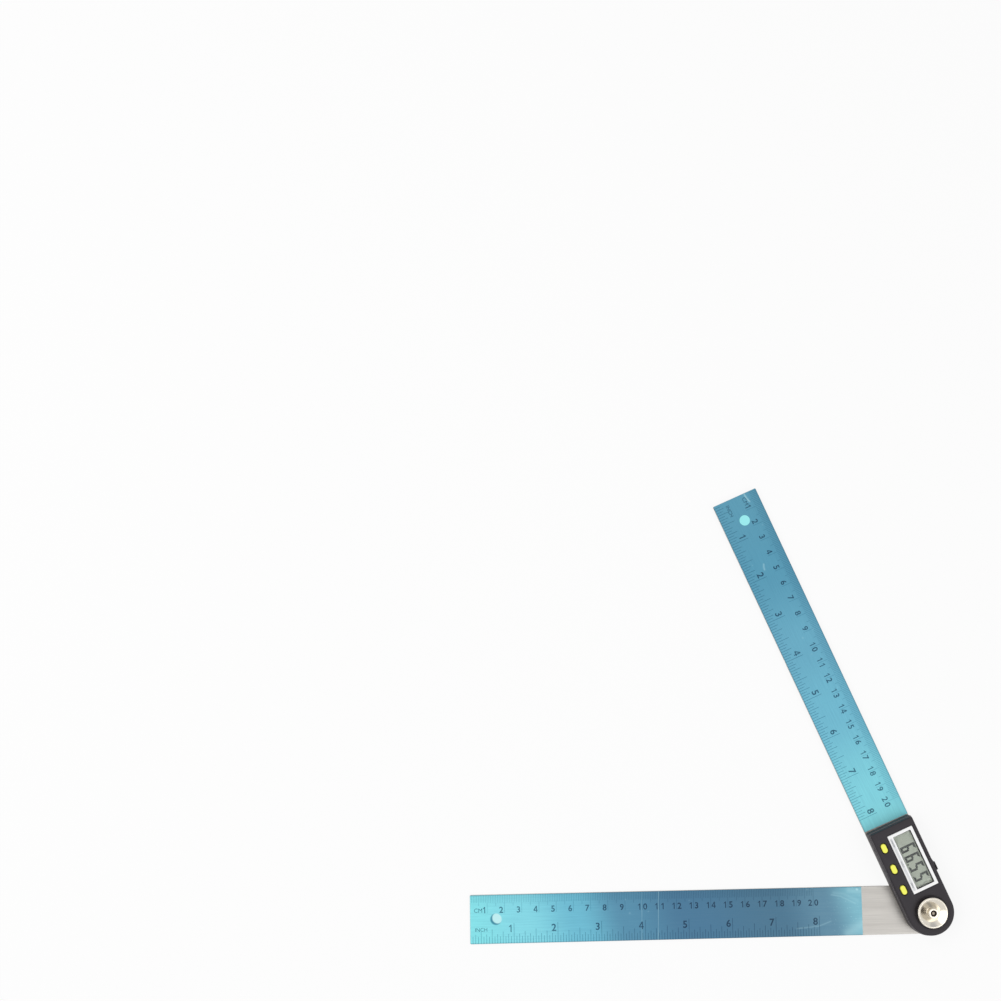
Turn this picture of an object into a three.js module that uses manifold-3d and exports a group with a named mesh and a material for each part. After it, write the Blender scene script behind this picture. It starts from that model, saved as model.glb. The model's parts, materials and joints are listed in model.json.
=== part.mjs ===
// Digital angle finder: two pivoting steel rules with a display housing and a clamping knob.
// Millimetres, +Z up. The origin lies on the pivot axis, in the plane of the underside.
// The lower arm lies along -X. The upper arm is built along -X too and then swung open.

import * as THREE from 'three';
import { mergeVertices } from 'three/addons/utils/BufferGeometryUtils.js';
import Module from 'manifold-3d';

const wasm = await Module();
wasm.setup();

// Arms
const bladeWidth = 28;
const bladeReach = 266;
const bladeThickness = 1.2;
const bladeCornerRadius = 0.6;
const hangingHoleDiameter = 6.5;
const hangingHoleInset = 15;
const openAngle = THREE.MathUtils.degToRad(66.55);

// Fits
const seatGap = 0.3;
const slideGap = 0.2;
const turnGap = 0.1;
const overrun = 1;

// Protective film on the measuring faces
const filmThickness = 0.1;
const filmEdgeInset = 0.1;
const lowerFilmStart = 37.6;

// Pivot
const frictionWasherDiameter = 20;
const frictionWasherThickness = 0.4;
const spindleHeadDiameter = 12;
const spindleHeadThickness = 0.7;
const spindleShaftDiameter = 8;
const spindleKeyDiameter = 6;
const spindleKeyFlat = 2.2;
const spindleKeyProud = 0.5;
const studDiameter = 3;
const studInset = 0.8;
const bushWall = 0.8;
const bushFlangeWidth = 1.4;
const bushFlangeThickness = 0.8;
const bushTopGap = 0.6;

// Housing
const coverReach = 54.5;
const coverDraft = 0.5;
const coverEdgeRadius = 0.9;
const coverCornerRadius = 1.2;
const coverWall = 1.5;
const coverRoof = 1.6;
const bossDiameter = 4.2;
const bossInset = 1.9;
const basePlateThickness = 0.7;
const screwDiameter = 2;
const screwHeadDiameter = 3.8;
const screwHeadHeight = 0.9;
const screwLength = 6;

// Locking knob
const knobDiameter = 17.4;
const knobRimHeight = 3.4;
const knobRimWidth = 0.8;
const knobDishDepth = 2.3;
const knobEdgeRadius = 0.3;
const hubDiameter = 5.8;
const hubProud = 1.3;
const hubFlareRadius = 1.9;
const wellGap = 0.8;
const wellDepth = 0.8;
const collarDiameter = 13;
const clampWasherDiameter = 12;
const clampWasherThickness = 0.4;
const clampTravel = 0.375;
const clampSpareGap = 0.025;

// Display
const bezelEndInset = 5;
const bezelSideInset = 3.35;
const wellToBezel = 3.9;
const bezelSideBorder = 1.8;
const bezelLabelBorder = 3;
const bezelLedge = 0.7;
const bezelProud = 0.2;
const bezelCornerRadius = 0.3;
const paneMargin = 0.3;
const panelMarginAlong = 0.35;
const panelMarginAcross = 1.15;
const panelThickness = 1.1;
const zebraLengthShare = 0.86;
const zebraWidth = 1.5;
const zebraHeight = 0.5;

// Buttons
const buttonLength = 5.4;
const buttonWidth = 3;
const buttonProud = 0.4;
const buttonTravel = 0.4;
const buttonFlangeMargin = 0.8;
const buttonFlangeThickness = 0.5;
const buttonStripWidth = 8.9;
const buttonEdgeInset = 4.6;
const buttonPitchShare = 0.4;
const switchSize = 4;
const domeDiameter = 2.4;
const domeHeight = 0.15;

// Circuit board and encoder
const boardThickness = 0.8;
const rotorWallGap = 2;
const rotorToRail = 3.6;
const rotorThickness = 0.8;
const chipBayShare = 0.5;
const chipHeight = 1;

// Battery
const cellThickness = 3.2;
const cellHeadroom = 0.3;
const traySideWall = 0.7;
const trayBackWall = 1.2;
const trayFloor = 0.6;
const trayRimHeight = 2.5;
const trayFrontWall = 1.4;
const trayFaceInset = 0.35;
const railWidth = 1.1;
const nubLength = 5;
const nubHeight = 2;
const nubProud = 1.8;
const nubAlong = 21.6;
const nubCornerRadius = 0.4;
const leafThickness = 0.2;
const leafLength = 8;
const leafWidth = 4;
const clipThickness = 0.4;
const clipWidth = 6;
const clipFingerHeight = 1.6;

// Facets of round shapes
const fineFacets = 64;
const mediumFacets = 40;
const smallFacets = 24;
const cornerFacets = 4;

// Heights above the underside
const upperBladeBottom = bladeThickness + frictionWasherThickness + turnGap;
const upperBladeTop = upperBladeBottom + bladeThickness;
const basePlateTop = upperBladeTop + basePlateThickness;
const trayBottom = basePlateTop + slideGap;
const cellBottom = trayBottom + trayFloor;
const cellTop = cellBottom + cellThickness;
const boardBottom = cellTop + cellHeadroom;
const boardTop = boardBottom + boardThickness;
const rotorTop = boardBottom - slideGap;
const rotorBottom = rotorTop - rotorThickness;
const panelBottom = boardTop + zebraHeight;
const panelTop = panelBottom + panelThickness;
const roofBottom = panelTop + turnGap;
const coverTop = roofBottom + coverRoof;
const bezelTop = coverTop + bezelProud;
const bezelBottom = roofBottom + bezelLedge;
const wellFloor = coverTop - wellDepth;
const clampWasherBottom = wellFloor + clampTravel + clampSpareGap;
const clampWasherTop = clampWasherBottom + clampWasherThickness;
const knobBottom = clampWasherBottom + turnGap;
const knobRimTop = coverTop + knobRimHeight;
const hubTop = knobRimTop + hubProud;
const flangeTop = roofBottom - turnGap;
const flangeBottom = flangeTop - buttonFlangeThickness;
const domeTop = flangeBottom - buttonTravel - turnGap;

// Room inside the cover
const halfWidth = bladeWidth / 2;
const cavityHalfWidth = halfWidth - coverDraft - coverWall;
const cavityReach = coverReach - coverDraft - coverWall;
const boardHalfWidth = cavityHalfWidth - seatGap;
const boardReach = cavityReach - seatGap;
const wellRadius = knobDiameter / 2 + wellGap;
const bushRadius = spindleShaftDiameter / 2 + seatGap + bushWall;
const rotorRadius = cavityHalfWidth - rotorWallGap;

// The tray takes the largest round cell that fits across the cover.
const trayFaceOuter = halfWidth - trayFaceInset;
const trayFaceInner = cavityHalfWidth + slideGap;
const trayBack = clipThickness + seatGap - boardHalfWidth;
const pocketRadius = (trayFaceInner - trayFrontWall - trayBack - trayBackWall) / 2;
const cellRadius = pocketRadius - seatGap;
const cellAcross = trayBack + trayBackWall + pocketRadius;
const trayHalfLength = pocketRadius + traySideWall;
const nearRailAlong = rotorRadius + rotorToRail + railWidth / 2;
const trayAlong = nearRailAlong + railWidth / 2 + seatGap + trayHalfLength;
const farRailAlong = 2 * trayAlong - nearRailAlong;
const bayStart = farRailAlong + railWidth / 2;
const chipSize = chipBayShare * (cavityReach - bayStart);
const chipAlong = (bayStart + cavityReach) / 2;

// Screw bosses beside the tray's near rail and in the cover's square corners
const bossAcross = cavityHalfWidth - bossInset;
const nearBossAlong = rotorRadius + rotorToRail - seatGap - bossDiameter / 2;
const farBossAlong = cavityReach - bossInset;
const bossPlaces = [nearBossAlong, farBossAlong].flatMap((along) => [
  { along, across: bossAcross },
  { along, across: -bossAcross },
]);

// The display fills what the knob's well, the side wall and the button strip leave free.
const bezelStart = wellRadius + wellToBezel;
const bezelLength = coverReach - bezelEndInset - bezelStart;
const bezelWidth = bladeWidth - bezelSideInset - buttonStripWidth;
const bezelAlong = bezelStart + bezelLength / 2;
const bezelAcross = halfWidth - bezelSideInset - bezelWidth / 2;
const windowLength = bezelLength - 2 * bezelSideBorder;
const windowWidth = bezelWidth - bezelSideBorder - bezelLabelBorder;
const windowAcross = halfWidth - bezelSideInset - bezelSideBorder - windowWidth / 2;
const buttonAcross = buttonEdgeInset - halfWidth;
const buttonPitch = buttonPitchShare * windowLength;

// Solids and geometries
function solidFrom(geometry) {
  geometry.deleteAttribute('normal');
  geometry.deleteAttribute('uv');
  const merged = mergeVertices(geometry);
  const vertProperties = Float32Array.from(merged.attributes.position.array);
  const triVerts = Uint32Array.from(merged.index.array);
  return new wasm.Manifold(new wasm.Mesh({ numProp: 3, vertProperties, triVerts }));
}

function geometryFrom(solid) {
  const mesh = solid.getMesh();
  const geometry = new THREE.BufferGeometry();
  geometry.setAttribute('position', new THREE.BufferAttribute(mesh.vertProperties, 3));
  geometry.setIndex(new THREE.BufferAttribute(mesh.triVerts, 1));
  geometry.computeVertexNormals();
  return geometry;
}

// A flat outline raised from one height to another, with both faces at exactly those heights.
function plate(shape, bottom, top) {
  const geometry = new THREE.ExtrudeGeometry(shape, { depth: top - bottom, bevelEnabled: false });
  const position = geometry.attributes.position;
  for (let i = 0; i < position.count; i += 1) {
    position.setZ(i, position.getZ(i) > 0 ? top : bottom);
  }
  return solidFrom(geometry);
}

// A profile of radius and height pairs turned about the pivot axis.
function turned(profile, facets = mediumFacets) {
  const points = profile.map(([radius, height]) => new THREE.Vector2(radius, height));
  const geometry = new THREE.LatheGeometry(points, facets);
  geometry.rotateX(Math.PI / 2);
  return solidFrom(geometry);
}

// An outline that narrows level by level, as a draught and a rounded edge do.
function lofted(levels, outlineAt) {
  const rings = levels.map(({ inset, height }) =>
    outlineAt(inset).map((point) => new THREE.Vector3(point.x, point.y, height)));
  const count = rings[0].length;
  const vertices = rings.flat();
  const index = [];
  for (let ring = 0; ring < rings.length - 1; ring += 1) {
    for (let i = 0; i < count; i += 1) {
      const next = (i + 1) % count;
      const [a, b] = [ring * count + i, ring * count + next];
      index.push(a, b, b + count, a, b + count, a + count);
    }
  }
  const last = (rings.length - 1) * count;
  for (let i = 1; i < count - 1; i += 1) {
    index.push(0, i + 1, i);
    index.push(last, last + i, last + i + 1);
  }
  const geometry = new THREE.BufferGeometry().setFromPoints(vertices);
  geometry.setIndex(index);
  return solidFrom(geometry);
}

// Outlines
function arc(x, y, radius, from, to, facets) {
  const steps = Math.max(1, Math.round((facets * (to - from)) / (2 * Math.PI)));
  return Array.from({ length: steps + 1 }, (_, step) => {
    const turn = from + ((to - from) * step) / steps;
    return new THREE.Vector2(x + radius * Math.cos(turn), y + radius * Math.sin(turn));
  });
}

function armPoints(half, reach, corner) {
  return [
    ...arc(0, 0, half, -Math.PI / 2, Math.PI / 2, fineFacets),
    ...arc(corner - reach, half - corner, corner, Math.PI / 2, Math.PI, smallFacets),
    ...arc(corner - reach, corner - half, corner, Math.PI, 1.5 * Math.PI, smallFacets),
  ];
}

function armOutline(half, reach, corner) {
  return new THREE.Shape(armPoints(half, reach, corner));
}

function rectangle(along, across, length, width, corner = 0) {
  const [left, right] = [-along - length / 2, -along + length / 2];
  const [low, high] = [across - width / 2, across + width / 2];
  if (corner === 0) {
    const corners = [[left, low], [right, low], [right, high], [left, high]];
    return new THREE.Shape(corners.map(([x, y]) => new THREE.Vector2(x, y)));
  }
  return new THREE.Shape([
    ...arc(right - corner, low + corner, corner, -Math.PI / 2, 0, smallFacets),
    ...arc(right - corner, high - corner, corner, 0, Math.PI / 2, smallFacets),
    ...arc(left + corner, high - corner, corner, Math.PI / 2, Math.PI, smallFacets),
    ...arc(left + corner, low + corner, corner, Math.PI, 1.5 * Math.PI, smallFacets),
  ]);
}

function obround(along, across, length, width) {
  return rectangle(along, across, length, width, width / 2);
}

function disc(radius, along = 0, across = 0, facets = mediumFacets) {
  return new THREE.Shape(arc(-along, across, radius, 0, 2 * Math.PI, facets).slice(1));
}

// A round section with one flat, which keys the encoder rotor to the spindle.
function keyedDisc(radius, flat) {
  const turn = Math.acos(flat / radius);
  return new THREE.Shape(arc(0, 0, radius, turn, 2 * Math.PI - turn, mediumFacets));
}

// Pieces of the arms
function bladeWith(bottom, pivotHoleRadius) {
  const top = bottom + bladeThickness;
  const blank = plate(armOutline(halfWidth, bladeReach, bladeCornerRadius), bottom, top);
  const hangingHole = disc(hangingHoleDiameter / 2, bladeReach - hangingHoleInset);
  const pivotHole = disc(pivotHoleRadius);
  return blank
    .subtract(plate(hangingHole, bottom - overrun, top + overrun))
    .subtract(plate(pivotHole, bottom - overrun, top + overrun));
}

function lowerRuler() {
  const seatRadius = spindleHeadDiameter / 2 + seatGap;
  const seat = plate(disc(seatRadius), -overrun, spindleHeadThickness);
  return bladeWith(0, spindleShaftDiameter / 2 + seatGap).subtract(seat);
}

function upperRuler() {
  let blade = bladeWith(upperBladeBottom, bushRadius + seatGap);
  for (const { along, across } of bossPlaces) {
    blade = blade.subtract(screwSolid(seatGap, overrun).translate(-along, across, 0));
  }
  return blade;
}

function film(bottom, start) {
  const length = bladeReach - filmEdgeInset - start;
  const outline = rectangle(start + length / 2, 0, length, bladeWidth - 2 * filmEdgeInset);
  const hole = disc(hangingHoleDiameter / 2, bladeReach - hangingHoleInset);
  return plate(outline, bottom, bottom + filmThickness)
    .subtract(plate(hole, bottom - overrun, bottom + overrun));
}

// Pieces of the pivot
function pivotSpindle() {
  const headAndShaft = turned([
    [0, 0],
    [spindleHeadDiameter / 2, 0],
    [spindleHeadDiameter / 2, spindleHeadThickness],
    [spindleShaftDiameter / 2, spindleHeadThickness],
    [spindleShaftDiameter / 2, rotorBottom],
    [studDiameter / 2, rotorBottom],
    [studDiameter / 2, hubTop - studInset],
    [0, hubTop - studInset],
  ]);
  const key = plate(
    keyedDisc(spindleKeyDiameter / 2, spindleKeyFlat),
    rotorBottom - spindleHeadThickness,
    boardTop + spindleKeyProud,
  );
  return headAndShaft.add(key);
}

function encoderRotor() {
  const hole = keyedDisc(spindleKeyDiameter / 2 + seatGap, spindleKeyFlat + seatGap);
  return plate(disc(rotorRadius), rotorBottom, rotorTop)
    .subtract(plate(hole, rotorBottom - overrun, rotorTop + overrun));
}

function washer(outerRadius, innerRadius, bottom, thickness) {
  const top = bottom + thickness;
  return turned([
    [innerRadius, bottom],
    [outerRadius, bottom],
    [outerRadius, top],
    [innerRadius, top],
    [innerRadius, bottom],
  ]);
}

function pivotBush() {
  const boreRadius = spindleShaftDiameter / 2 + seatGap;
  const flangeRadius = bushRadius + bushFlangeWidth;
  return turned([
    [boreRadius, upperBladeBottom + turnGap],
    [bushRadius, upperBladeBottom + turnGap],
    [bushRadius, upperBladeTop],
    [flangeRadius, upperBladeTop],
    [flangeRadius, upperBladeTop + bushFlangeThickness],
    [bushRadius, upperBladeTop + bushFlangeThickness],
    [bushRadius, rotorBottom - bushTopGap],
    [boreRadius, rotorBottom - bushTopGap],
    [boreRadius, upperBladeBottom + turnGap],
  ]);
}

// Pieces of the housing
function coverOutline(inset) {
  return armPoints(halfWidth - inset, coverReach - inset, coverCornerRadius);
}

function coverShell() {
  const levels = [
    { inset: 0, height: upperBladeTop },
    { inset: coverDraft, height: coverTop - coverEdgeRadius },
  ];
  for (let step = 1; step <= cornerFacets; step += 1) {
    const turn = (step / cornerFacets) * (Math.PI / 2);
    levels.push({
      inset: coverDraft + coverEdgeRadius * (1 - Math.cos(turn)),
      height: coverTop - coverEdgeRadius * (1 - Math.sin(turn)),
    });
  }
  const cavity = armOutline(cavityHalfWidth, cavityReach, coverCornerRadius);
  return lofted(levels, coverOutline)
    .subtract(plate(cavity, upperBladeTop - overrun, roofBottom));
}

function screwBoss(along, across) {
  const boss = plate(disc(bossDiameter / 2, along, across), basePlateTop, roofBottom + overrun);
  const pilotTop = upperBladeBottom + turnGap + screwLength + seatGap;
  const pilot = plate(
    disc(screwDiameter / 2 + seatGap, along, across), basePlateTop - overrun, pilotTop);
  return { boss, pilot };
}

function buttonPlaces() {
  return [-1, 0, 1].map((step) => bezelAlong + step * buttonPitch);
}

// The cover is cut for the knob, the display, the buttons and the battery tray.
function coverOpenings() {
  const above = coverTop + overrun;
  const below = roofBottom - overrun;
  const keyRadius = spindleKeyDiameter / 2 + seatGap;
  const paneLength = windowLength + 2 * (paneMargin + seatGap);
  const paneWidth = windowWidth + 2 * (paneMargin + seatGap);
  const [seatLength, seatWidth] = [bezelLength + 2 * seatGap, bezelWidth + 2 * seatGap];
  const bezelSeat = rectangle(bezelAlong, bezelAcross, seatLength, seatWidth, bezelCornerRadius);
  const slotLength = 2 * (trayHalfLength + seatGap);
  const slotWidth = 2 * (halfWidth - trayFaceInner + seatGap);
  const cuts = [
    plate(disc(wellRadius), wellFloor, above),
    plate(disc(keyRadius), below - overrun, above),
    plate(rectangle(bezelAlong, windowAcross, paneLength, paneWidth), below, above),
    plate(bezelSeat, bezelBottom, above),
    plate(
      rectangle(trayAlong, halfWidth, slotLength, slotWidth),
      trayBottom - seatGap,
      boardBottom + slideGap,
    ),
  ];
  for (const along of buttonPlaces()) {
    const [length, width] = [buttonLength + 2 * seatGap, buttonWidth + 2 * seatGap];
    cuts.push(plate(obround(along, buttonAcross, length, width), below, above));
  }
  return cuts;
}

function housingCover() {
  let cover = coverShell();
  const bosses = bossPlaces.map(({ along, across }) => screwBoss(along, across));
  for (const { boss } of bosses) {
    cover = cover.add(boss);
  }
  for (const { pilot } of bosses) {
    cover = cover.subtract(pilot);
  }
  const collar = plate(disc(collarDiameter / 2), boardTop + slideGap, roofBottom + seatGap);
  cover = cover.add(collar);
  for (const cut of coverOpenings()) {
    cover = cover.subtract(cut);
  }
  return cover;
}

// The base plate closes the cover from below and carries the tray and the circuit board.
function basePlate() {
  const outline = armOutline(boardHalfWidth, boardReach, coverCornerRadius);
  let base = plate(outline, upperBladeTop, basePlateTop);
  const railLength = 2 * (boardHalfWidth - seatGap);
  for (const railAlong of [nearRailAlong, farRailAlong]) {
    const rail = rectangle(railAlong, 0, railWidth, railLength);
    base = base.add(plate(rail, upperBladeTop + basePlateThickness / 2, boardBottom));
  }
  const flangeHole = disc(bushRadius + bushFlangeWidth + seatGap);
  base = base.subtract(plate(flangeHole, upperBladeTop - overrun, basePlateTop + overrun));
  for (const { along, across } of bossPlaces) {
    const hole = disc(screwDiameter / 2 + seatGap, along, across);
    base = base.subtract(plate(hole, upperBladeTop - overrun, basePlateTop + overrun));
  }
  return base;
}

// A countersunk screw, or with a gap and an overrun the hole that takes it.
function screwSolid(gap = 0, past = 0) {
  const bottom = upperBladeBottom + turnGap;
  const headRadius = screwHeadDiameter / 2 + gap;
  const shankRadius = screwDiameter / 2 + gap;
  const profile = [
    [0, bottom - past],
    [headRadius, bottom - past],
    [shankRadius, bottom + screwHeadHeight],
    [shankRadius, bottom + screwLength],
    [0, bottom + screwLength],
  ];
  if (past > 0) {
    profile.splice(2, 0, [headRadius, bottom]);
  }
  return turned(profile, smallFacets);
}

// Circuit board and what it carries
function mainBoard() {
  const outline = armOutline(boardHalfWidth, boardReach, coverCornerRadius);
  let board = plate(outline, boardBottom, boardTop);
  board = board.subtract(
    plate(disc(spindleKeyDiameter / 2 + seatGap), boardBottom - overrun, boardTop + overrun));
  for (const { along, across } of bossPlaces) {
    const notch = disc(bossDiameter / 2 + seatGap, along, across);
    board = board.subtract(plate(notch, boardBottom - overrun, boardTop + overrun));
  }
  return board;
}

function snapSwitch() {
  const base = plate(rectangle(0, 0, switchSize, switchSize), boardTop, domeTop - domeHeight);
  return base.add(plate(disc(domeDiameter / 2), boardTop, domeTop));
}

// Display
function displayPanel() {
  const length = windowLength + 2 * panelMarginAlong;
  const width = windowWidth + 2 * panelMarginAcross;
  return plate(rectangle(bezelAlong, windowAcross, length, width), panelBottom, panelTop);
}

function zebraConnector() {
  const edge = windowAcross - windowWidth / 2 - panelMarginAcross;
  const length = zebraLengthShare * windowLength;
  const outline = rectangle(bezelAlong, edge + seatGap + zebraWidth / 2, length, zebraWidth);
  return plate(outline, boardTop, panelBottom);
}

function displayBezel() {
  const outer = rectangle(bezelAlong, bezelAcross, bezelLength, bezelWidth, bezelCornerRadius);
  const inner = rectangle(bezelAlong, windowAcross, windowLength, windowWidth, bezelCornerRadius);
  return plate(outer, bezelBottom, bezelTop)
    .subtract(plate(inner, bezelBottom - overrun, bezelTop + overrun));
}

function displayPane() {
  const [length, width] = [windowLength + 2 * paneMargin, windowWidth + 2 * paneMargin];
  return plate(rectangle(bezelAlong, windowAcross, length, width), roofBottom + turnGap, bezelBottom);
}

// Button, made at its place along the arm's own centre and moved to its hole
function button() {
  const flangeLength = buttonLength + 2 * buttonFlangeMargin;
  const flangeWidth = buttonWidth + 2 * buttonFlangeMargin;
  const flange = obround(0, 0, flangeLength, flangeWidth);
  const cap = obround(0, 0, buttonLength, buttonWidth);
  return plate(flange, flangeBottom, flangeTop).add(plate(cap, flangeBottom, coverTop + buttonProud));
}

// Battery
function batteryTray() {
  const bodyWidth = trayFaceOuter - trayBack;
  const bodyAcross = (trayFaceOuter + trayBack) / 2;
  const faceAcross = (trayFaceInner + trayFaceOuter) / 2;
  const faceThickness = trayFaceOuter - trayFaceInner;
  const body = rectangle(trayAlong, bodyAcross, 2 * trayHalfLength, bodyWidth);
  const face = rectangle(trayAlong, faceAcross, 2 * trayHalfLength, faceThickness);
  const pocket = disc(pocketRadius, trayAlong, cellAcross, fineFacets);
  const slot = rectangle(trayAlong, trayBack, clipWidth + 2 * seatGap, 2 * (trayBackWall + seatGap));
  const nub = rectangle(nubAlong, trayFaceOuter, nubLength, 2 * nubProud, nubCornerRadius);
  const nubBottom = trayBottom + (cellTop - trayBottom - nubHeight) / 2;
  return plate(body, trayBottom, cellBottom + trayRimHeight)
    .add(plate(face, trayBottom, cellTop + slideGap))
    .add(plate(nub, nubBottom, nubBottom + nubHeight))
    .subtract(plate(pocket, cellBottom, cellTop + overrun))
    .subtract(plate(slot, cellBottom, cellTop + overrun));
}

function coinCell() {
  return plate(disc(cellRadius, trayAlong, cellAcross, fineFacets), cellBottom, cellTop);
}

function contactLeaf() {
  const outline = rectangle(trayAlong, cellAcross, leafLength, leafWidth);
  return plate(outline, boardBottom - leafThickness, boardBottom);
}

function contactClip() {
  const outerSide = -boardHalfWidth + turnGap;
  const innerSide = cellAcross - pocketRadius;
  const post = rectangle(trayAlong, outerSide + clipThickness / 2, clipWidth, clipThickness);
  const finger = rectangle(trayAlong, (outerSide + innerSide) / 2, clipWidth, innerSide - outerSide);
  const fingerBottom = cellBottom + (cellThickness - clipFingerHeight) / 2;
  return plate(post, fingerBottom, boardBottom)
    .add(plate(finger, fingerBottom, fingerBottom + clipFingerHeight));
}

// Locking knob: a dished disc with a flared hub, bored for the stud
function lockKnob() {
  const boreRadius = studDiameter / 2 + seatGap;
  const recessRadius = clampWasherDiameter / 2 + seatGap;
  const recessTop = clampWasherTop + turnGap;
  const edge = knobEdgeRadius;
  const outer = knobDiameter / 2;
  const rimInner = outer - knobRimWidth;
  const dishFloor = knobRimTop - knobDishDepth;
  const hubRadius = hubDiameter / 2;
  const flareCentre = hubRadius + hubFlareRadius;
  const profile = [
    [boreRadius, recessTop],
    [recessRadius, recessTop],
    [recessRadius, knobBottom],
    [outer - edge, knobBottom],
    [outer, knobBottom + edge],
    [outer, knobRimTop - edge],
    [outer - edge, knobRimTop],
    [rimInner, knobRimTop],
    [rimInner - edge, knobRimTop - edge],
  ];
  for (let step = 0; step <= cornerFacets; step += 1) {
    const turn = (step / cornerFacets) * (Math.PI / 2);
    profile.push([
      flareCentre - hubFlareRadius * Math.sin(turn),
      dishFloor + hubFlareRadius * (1 - Math.cos(turn)),
    ]);
  }
  profile.push(
    [hubRadius, hubTop - edge],
    [hubRadius - edge, hubTop],
    [boreRadius + edge, hubTop],
    [boreRadius, hubTop - edge],
    [boreRadius, recessTop],
  );
  return turned(profile, fineFacets);
}

// Materials
const steel = new THREE.MeshStandardMaterial({ color: '#c6c2bf', roughness: 0.38, metalness: 1 });
const bearingSteel = new THREE.MeshStandardMaterial({ color: '#a9a6a2', roughness: 0.3, metalness: 1 });
const blueFilm = new THREE.MeshStandardMaterial({ color: '#5fb2cc', roughness: 0.25, metalness: 0.4 });
const nylon = new THREE.MeshStandardMaterial({ color: '#e9e6dc', roughness: 0.5, metalness: 0 });
const brass = new THREE.MeshStandardMaterial({ color: '#c9a45a', roughness: 0.35, metalness: 1 });
const darkPlastic = new THREE.MeshStandardMaterial({ color: '#3a363c', roughness: 0.5, metalness: 0 });
const yellowPlastic = new THREE.MeshStandardMaterial({ color: '#eef030', roughness: 0.4, metalness: 0 });
const silverPaint = new THREE.MeshStandardMaterial({ color: '#e8e8e6', roughness: 0.35, metalness: 0 });
const displayGlass = new THREE.MeshStandardMaterial({ color: '#a9b0a0', roughness: 0.2, metalness: 0 });
const clearPlastic = new THREE.MeshStandardMaterial({ color: '#f2f5f5', roughness: 0.1, metalness: 0 });
const boardGreen = new THREE.MeshStandardMaterial({ color: '#1f6b3a', roughness: 0.5, metalness: 0 });
const chipBlack = new THREE.MeshStandardMaterial({ color: '#1c1c1e', roughness: 0.6, metalness: 0 });
const rubber = new THREE.MeshStandardMaterial({ color: '#d9d4cc', roughness: 0.7, metalness: 0 });
const plated = new THREE.MeshStandardMaterial({ color: '#d8d2c6', roughness: 0.12, metalness: 1 });

// Assembly
function piece(name, solid, material) {
  const mesh = new THREE.Mesh(geometryFrom(solid), material);
  mesh.name = name;
  return mesh;
}

function lowerArm() {
  const shaftHole = spindleShaftDiameter / 2 + seatGap;
  const group = new THREE.Group();
  group.add(
    piece('lower_ruler', lowerRuler(), steel),
    piece('lower_film', film(bladeThickness, lowerFilmStart), blueFilm),
    piece('pivot_spindle', pivotSpindle(), bearingSteel),
    piece('encoder_rotor', encoderRotor(), boardGreen),
    piece(
      'friction_washer',
      washer(frictionWasherDiameter / 2, shaftHole, bladeThickness, frictionWasherThickness),
      nylon,
    ),
  );
  return group;
}

function housing() {
  const group = new THREE.Group();
  group.add(
    piece('housing_cover', housingCover(), darkPlastic),
    piece('base_plate', basePlate(), darkPlastic),
    piece('main_board', mainBoard(), boardGreen),
    piece(
      'controller_chip',
      plate(rectangle(chipAlong, 0, chipSize, chipSize), boardBottom - chipHeight, boardBottom),
      chipBlack,
    ),
    piece('lcd_panel', displayPanel(), displayGlass),
    piece('zebra_connector', zebraConnector(), rubber),
    piece('lcd_bezel', displayBezel(), silverPaint),
    piece('lcd_window', displayPane(), clearPlastic),
    piece('contact_negative', contactLeaf(), bearingSteel),
    piece('contact_positive', contactClip(), bearingSteel),
    piece('battery_tray', batteryTray(), darkPlastic),
    piece('coin_cell', coinCell(), steel),
  );
  bossPlaces.forEach(({ along, across }, number) => {
    const screw = piece(`housing_screw_${number + 1}`, screwSolid(), bearingSteel);
    screw.position.set(-along, across, 0);
    group.add(screw);
  });
  const labels = ['zero', 'hold', 'on_off'];
  buttonPlaces().forEach((along, number) => {
    const cap = piece(`button_${labels[number]}`, button(), yellowPlastic);
    const dome = piece(`switch_${labels[number]}`, snapSwitch(), bearingSteel);
    cap.position.set(-along, buttonAcross, 0);
    dome.position.set(-along, buttonAcross, 0);
    group.add(cap, dome);
  });
  return group;
}

function upperArm() {
  const group = new THREE.Group();
  const studHole = studDiameter / 2 + seatGap;
  group.add(
    piece('upper_ruler', upperRuler(), steel),
    piece('upper_film', film(upperBladeTop, coverReach + seatGap), blueFilm),
    piece('pivot_bush', pivotBush(), brass),
    housing(),
    piece(
      'clamp_washer',
      washer(clampWasherDiameter / 2, studHole, clampWasherBottom, clampWasherThickness),
      bearingSteel,
    ),
    piece('lock_knob', lockKnob(), plated),
  );
  group.rotation.z = -openAngle;
  return group;
}

const angleFinder = new THREE.Group();
angleFinder.add(lowerArm(), upperArm());

export default angleFinder;
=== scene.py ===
"""Looks of the digital angle finder: two ruled steel arms in blue film, the housing and the knob.

Sizes are in millimetres until a mesh is made, and an arm's own axes have the arm along -X, with the
centimetre edge at +Y and the pivot at the origin.
"""

import json
import logging
import math
import random
from collections.abc import Callable, Sequence
from dataclasses import dataclass
from enum import Enum
from typing import ClassVar

import bmesh
import bpy
from bpy.types import GeometryNodeTree, Material, Mesh, Node, NodeSocket, NodeTree, Object, World
from mathutils import Matrix, Quaternion, Vector
from mathutils.geometry import tessellate_polygon


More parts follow.
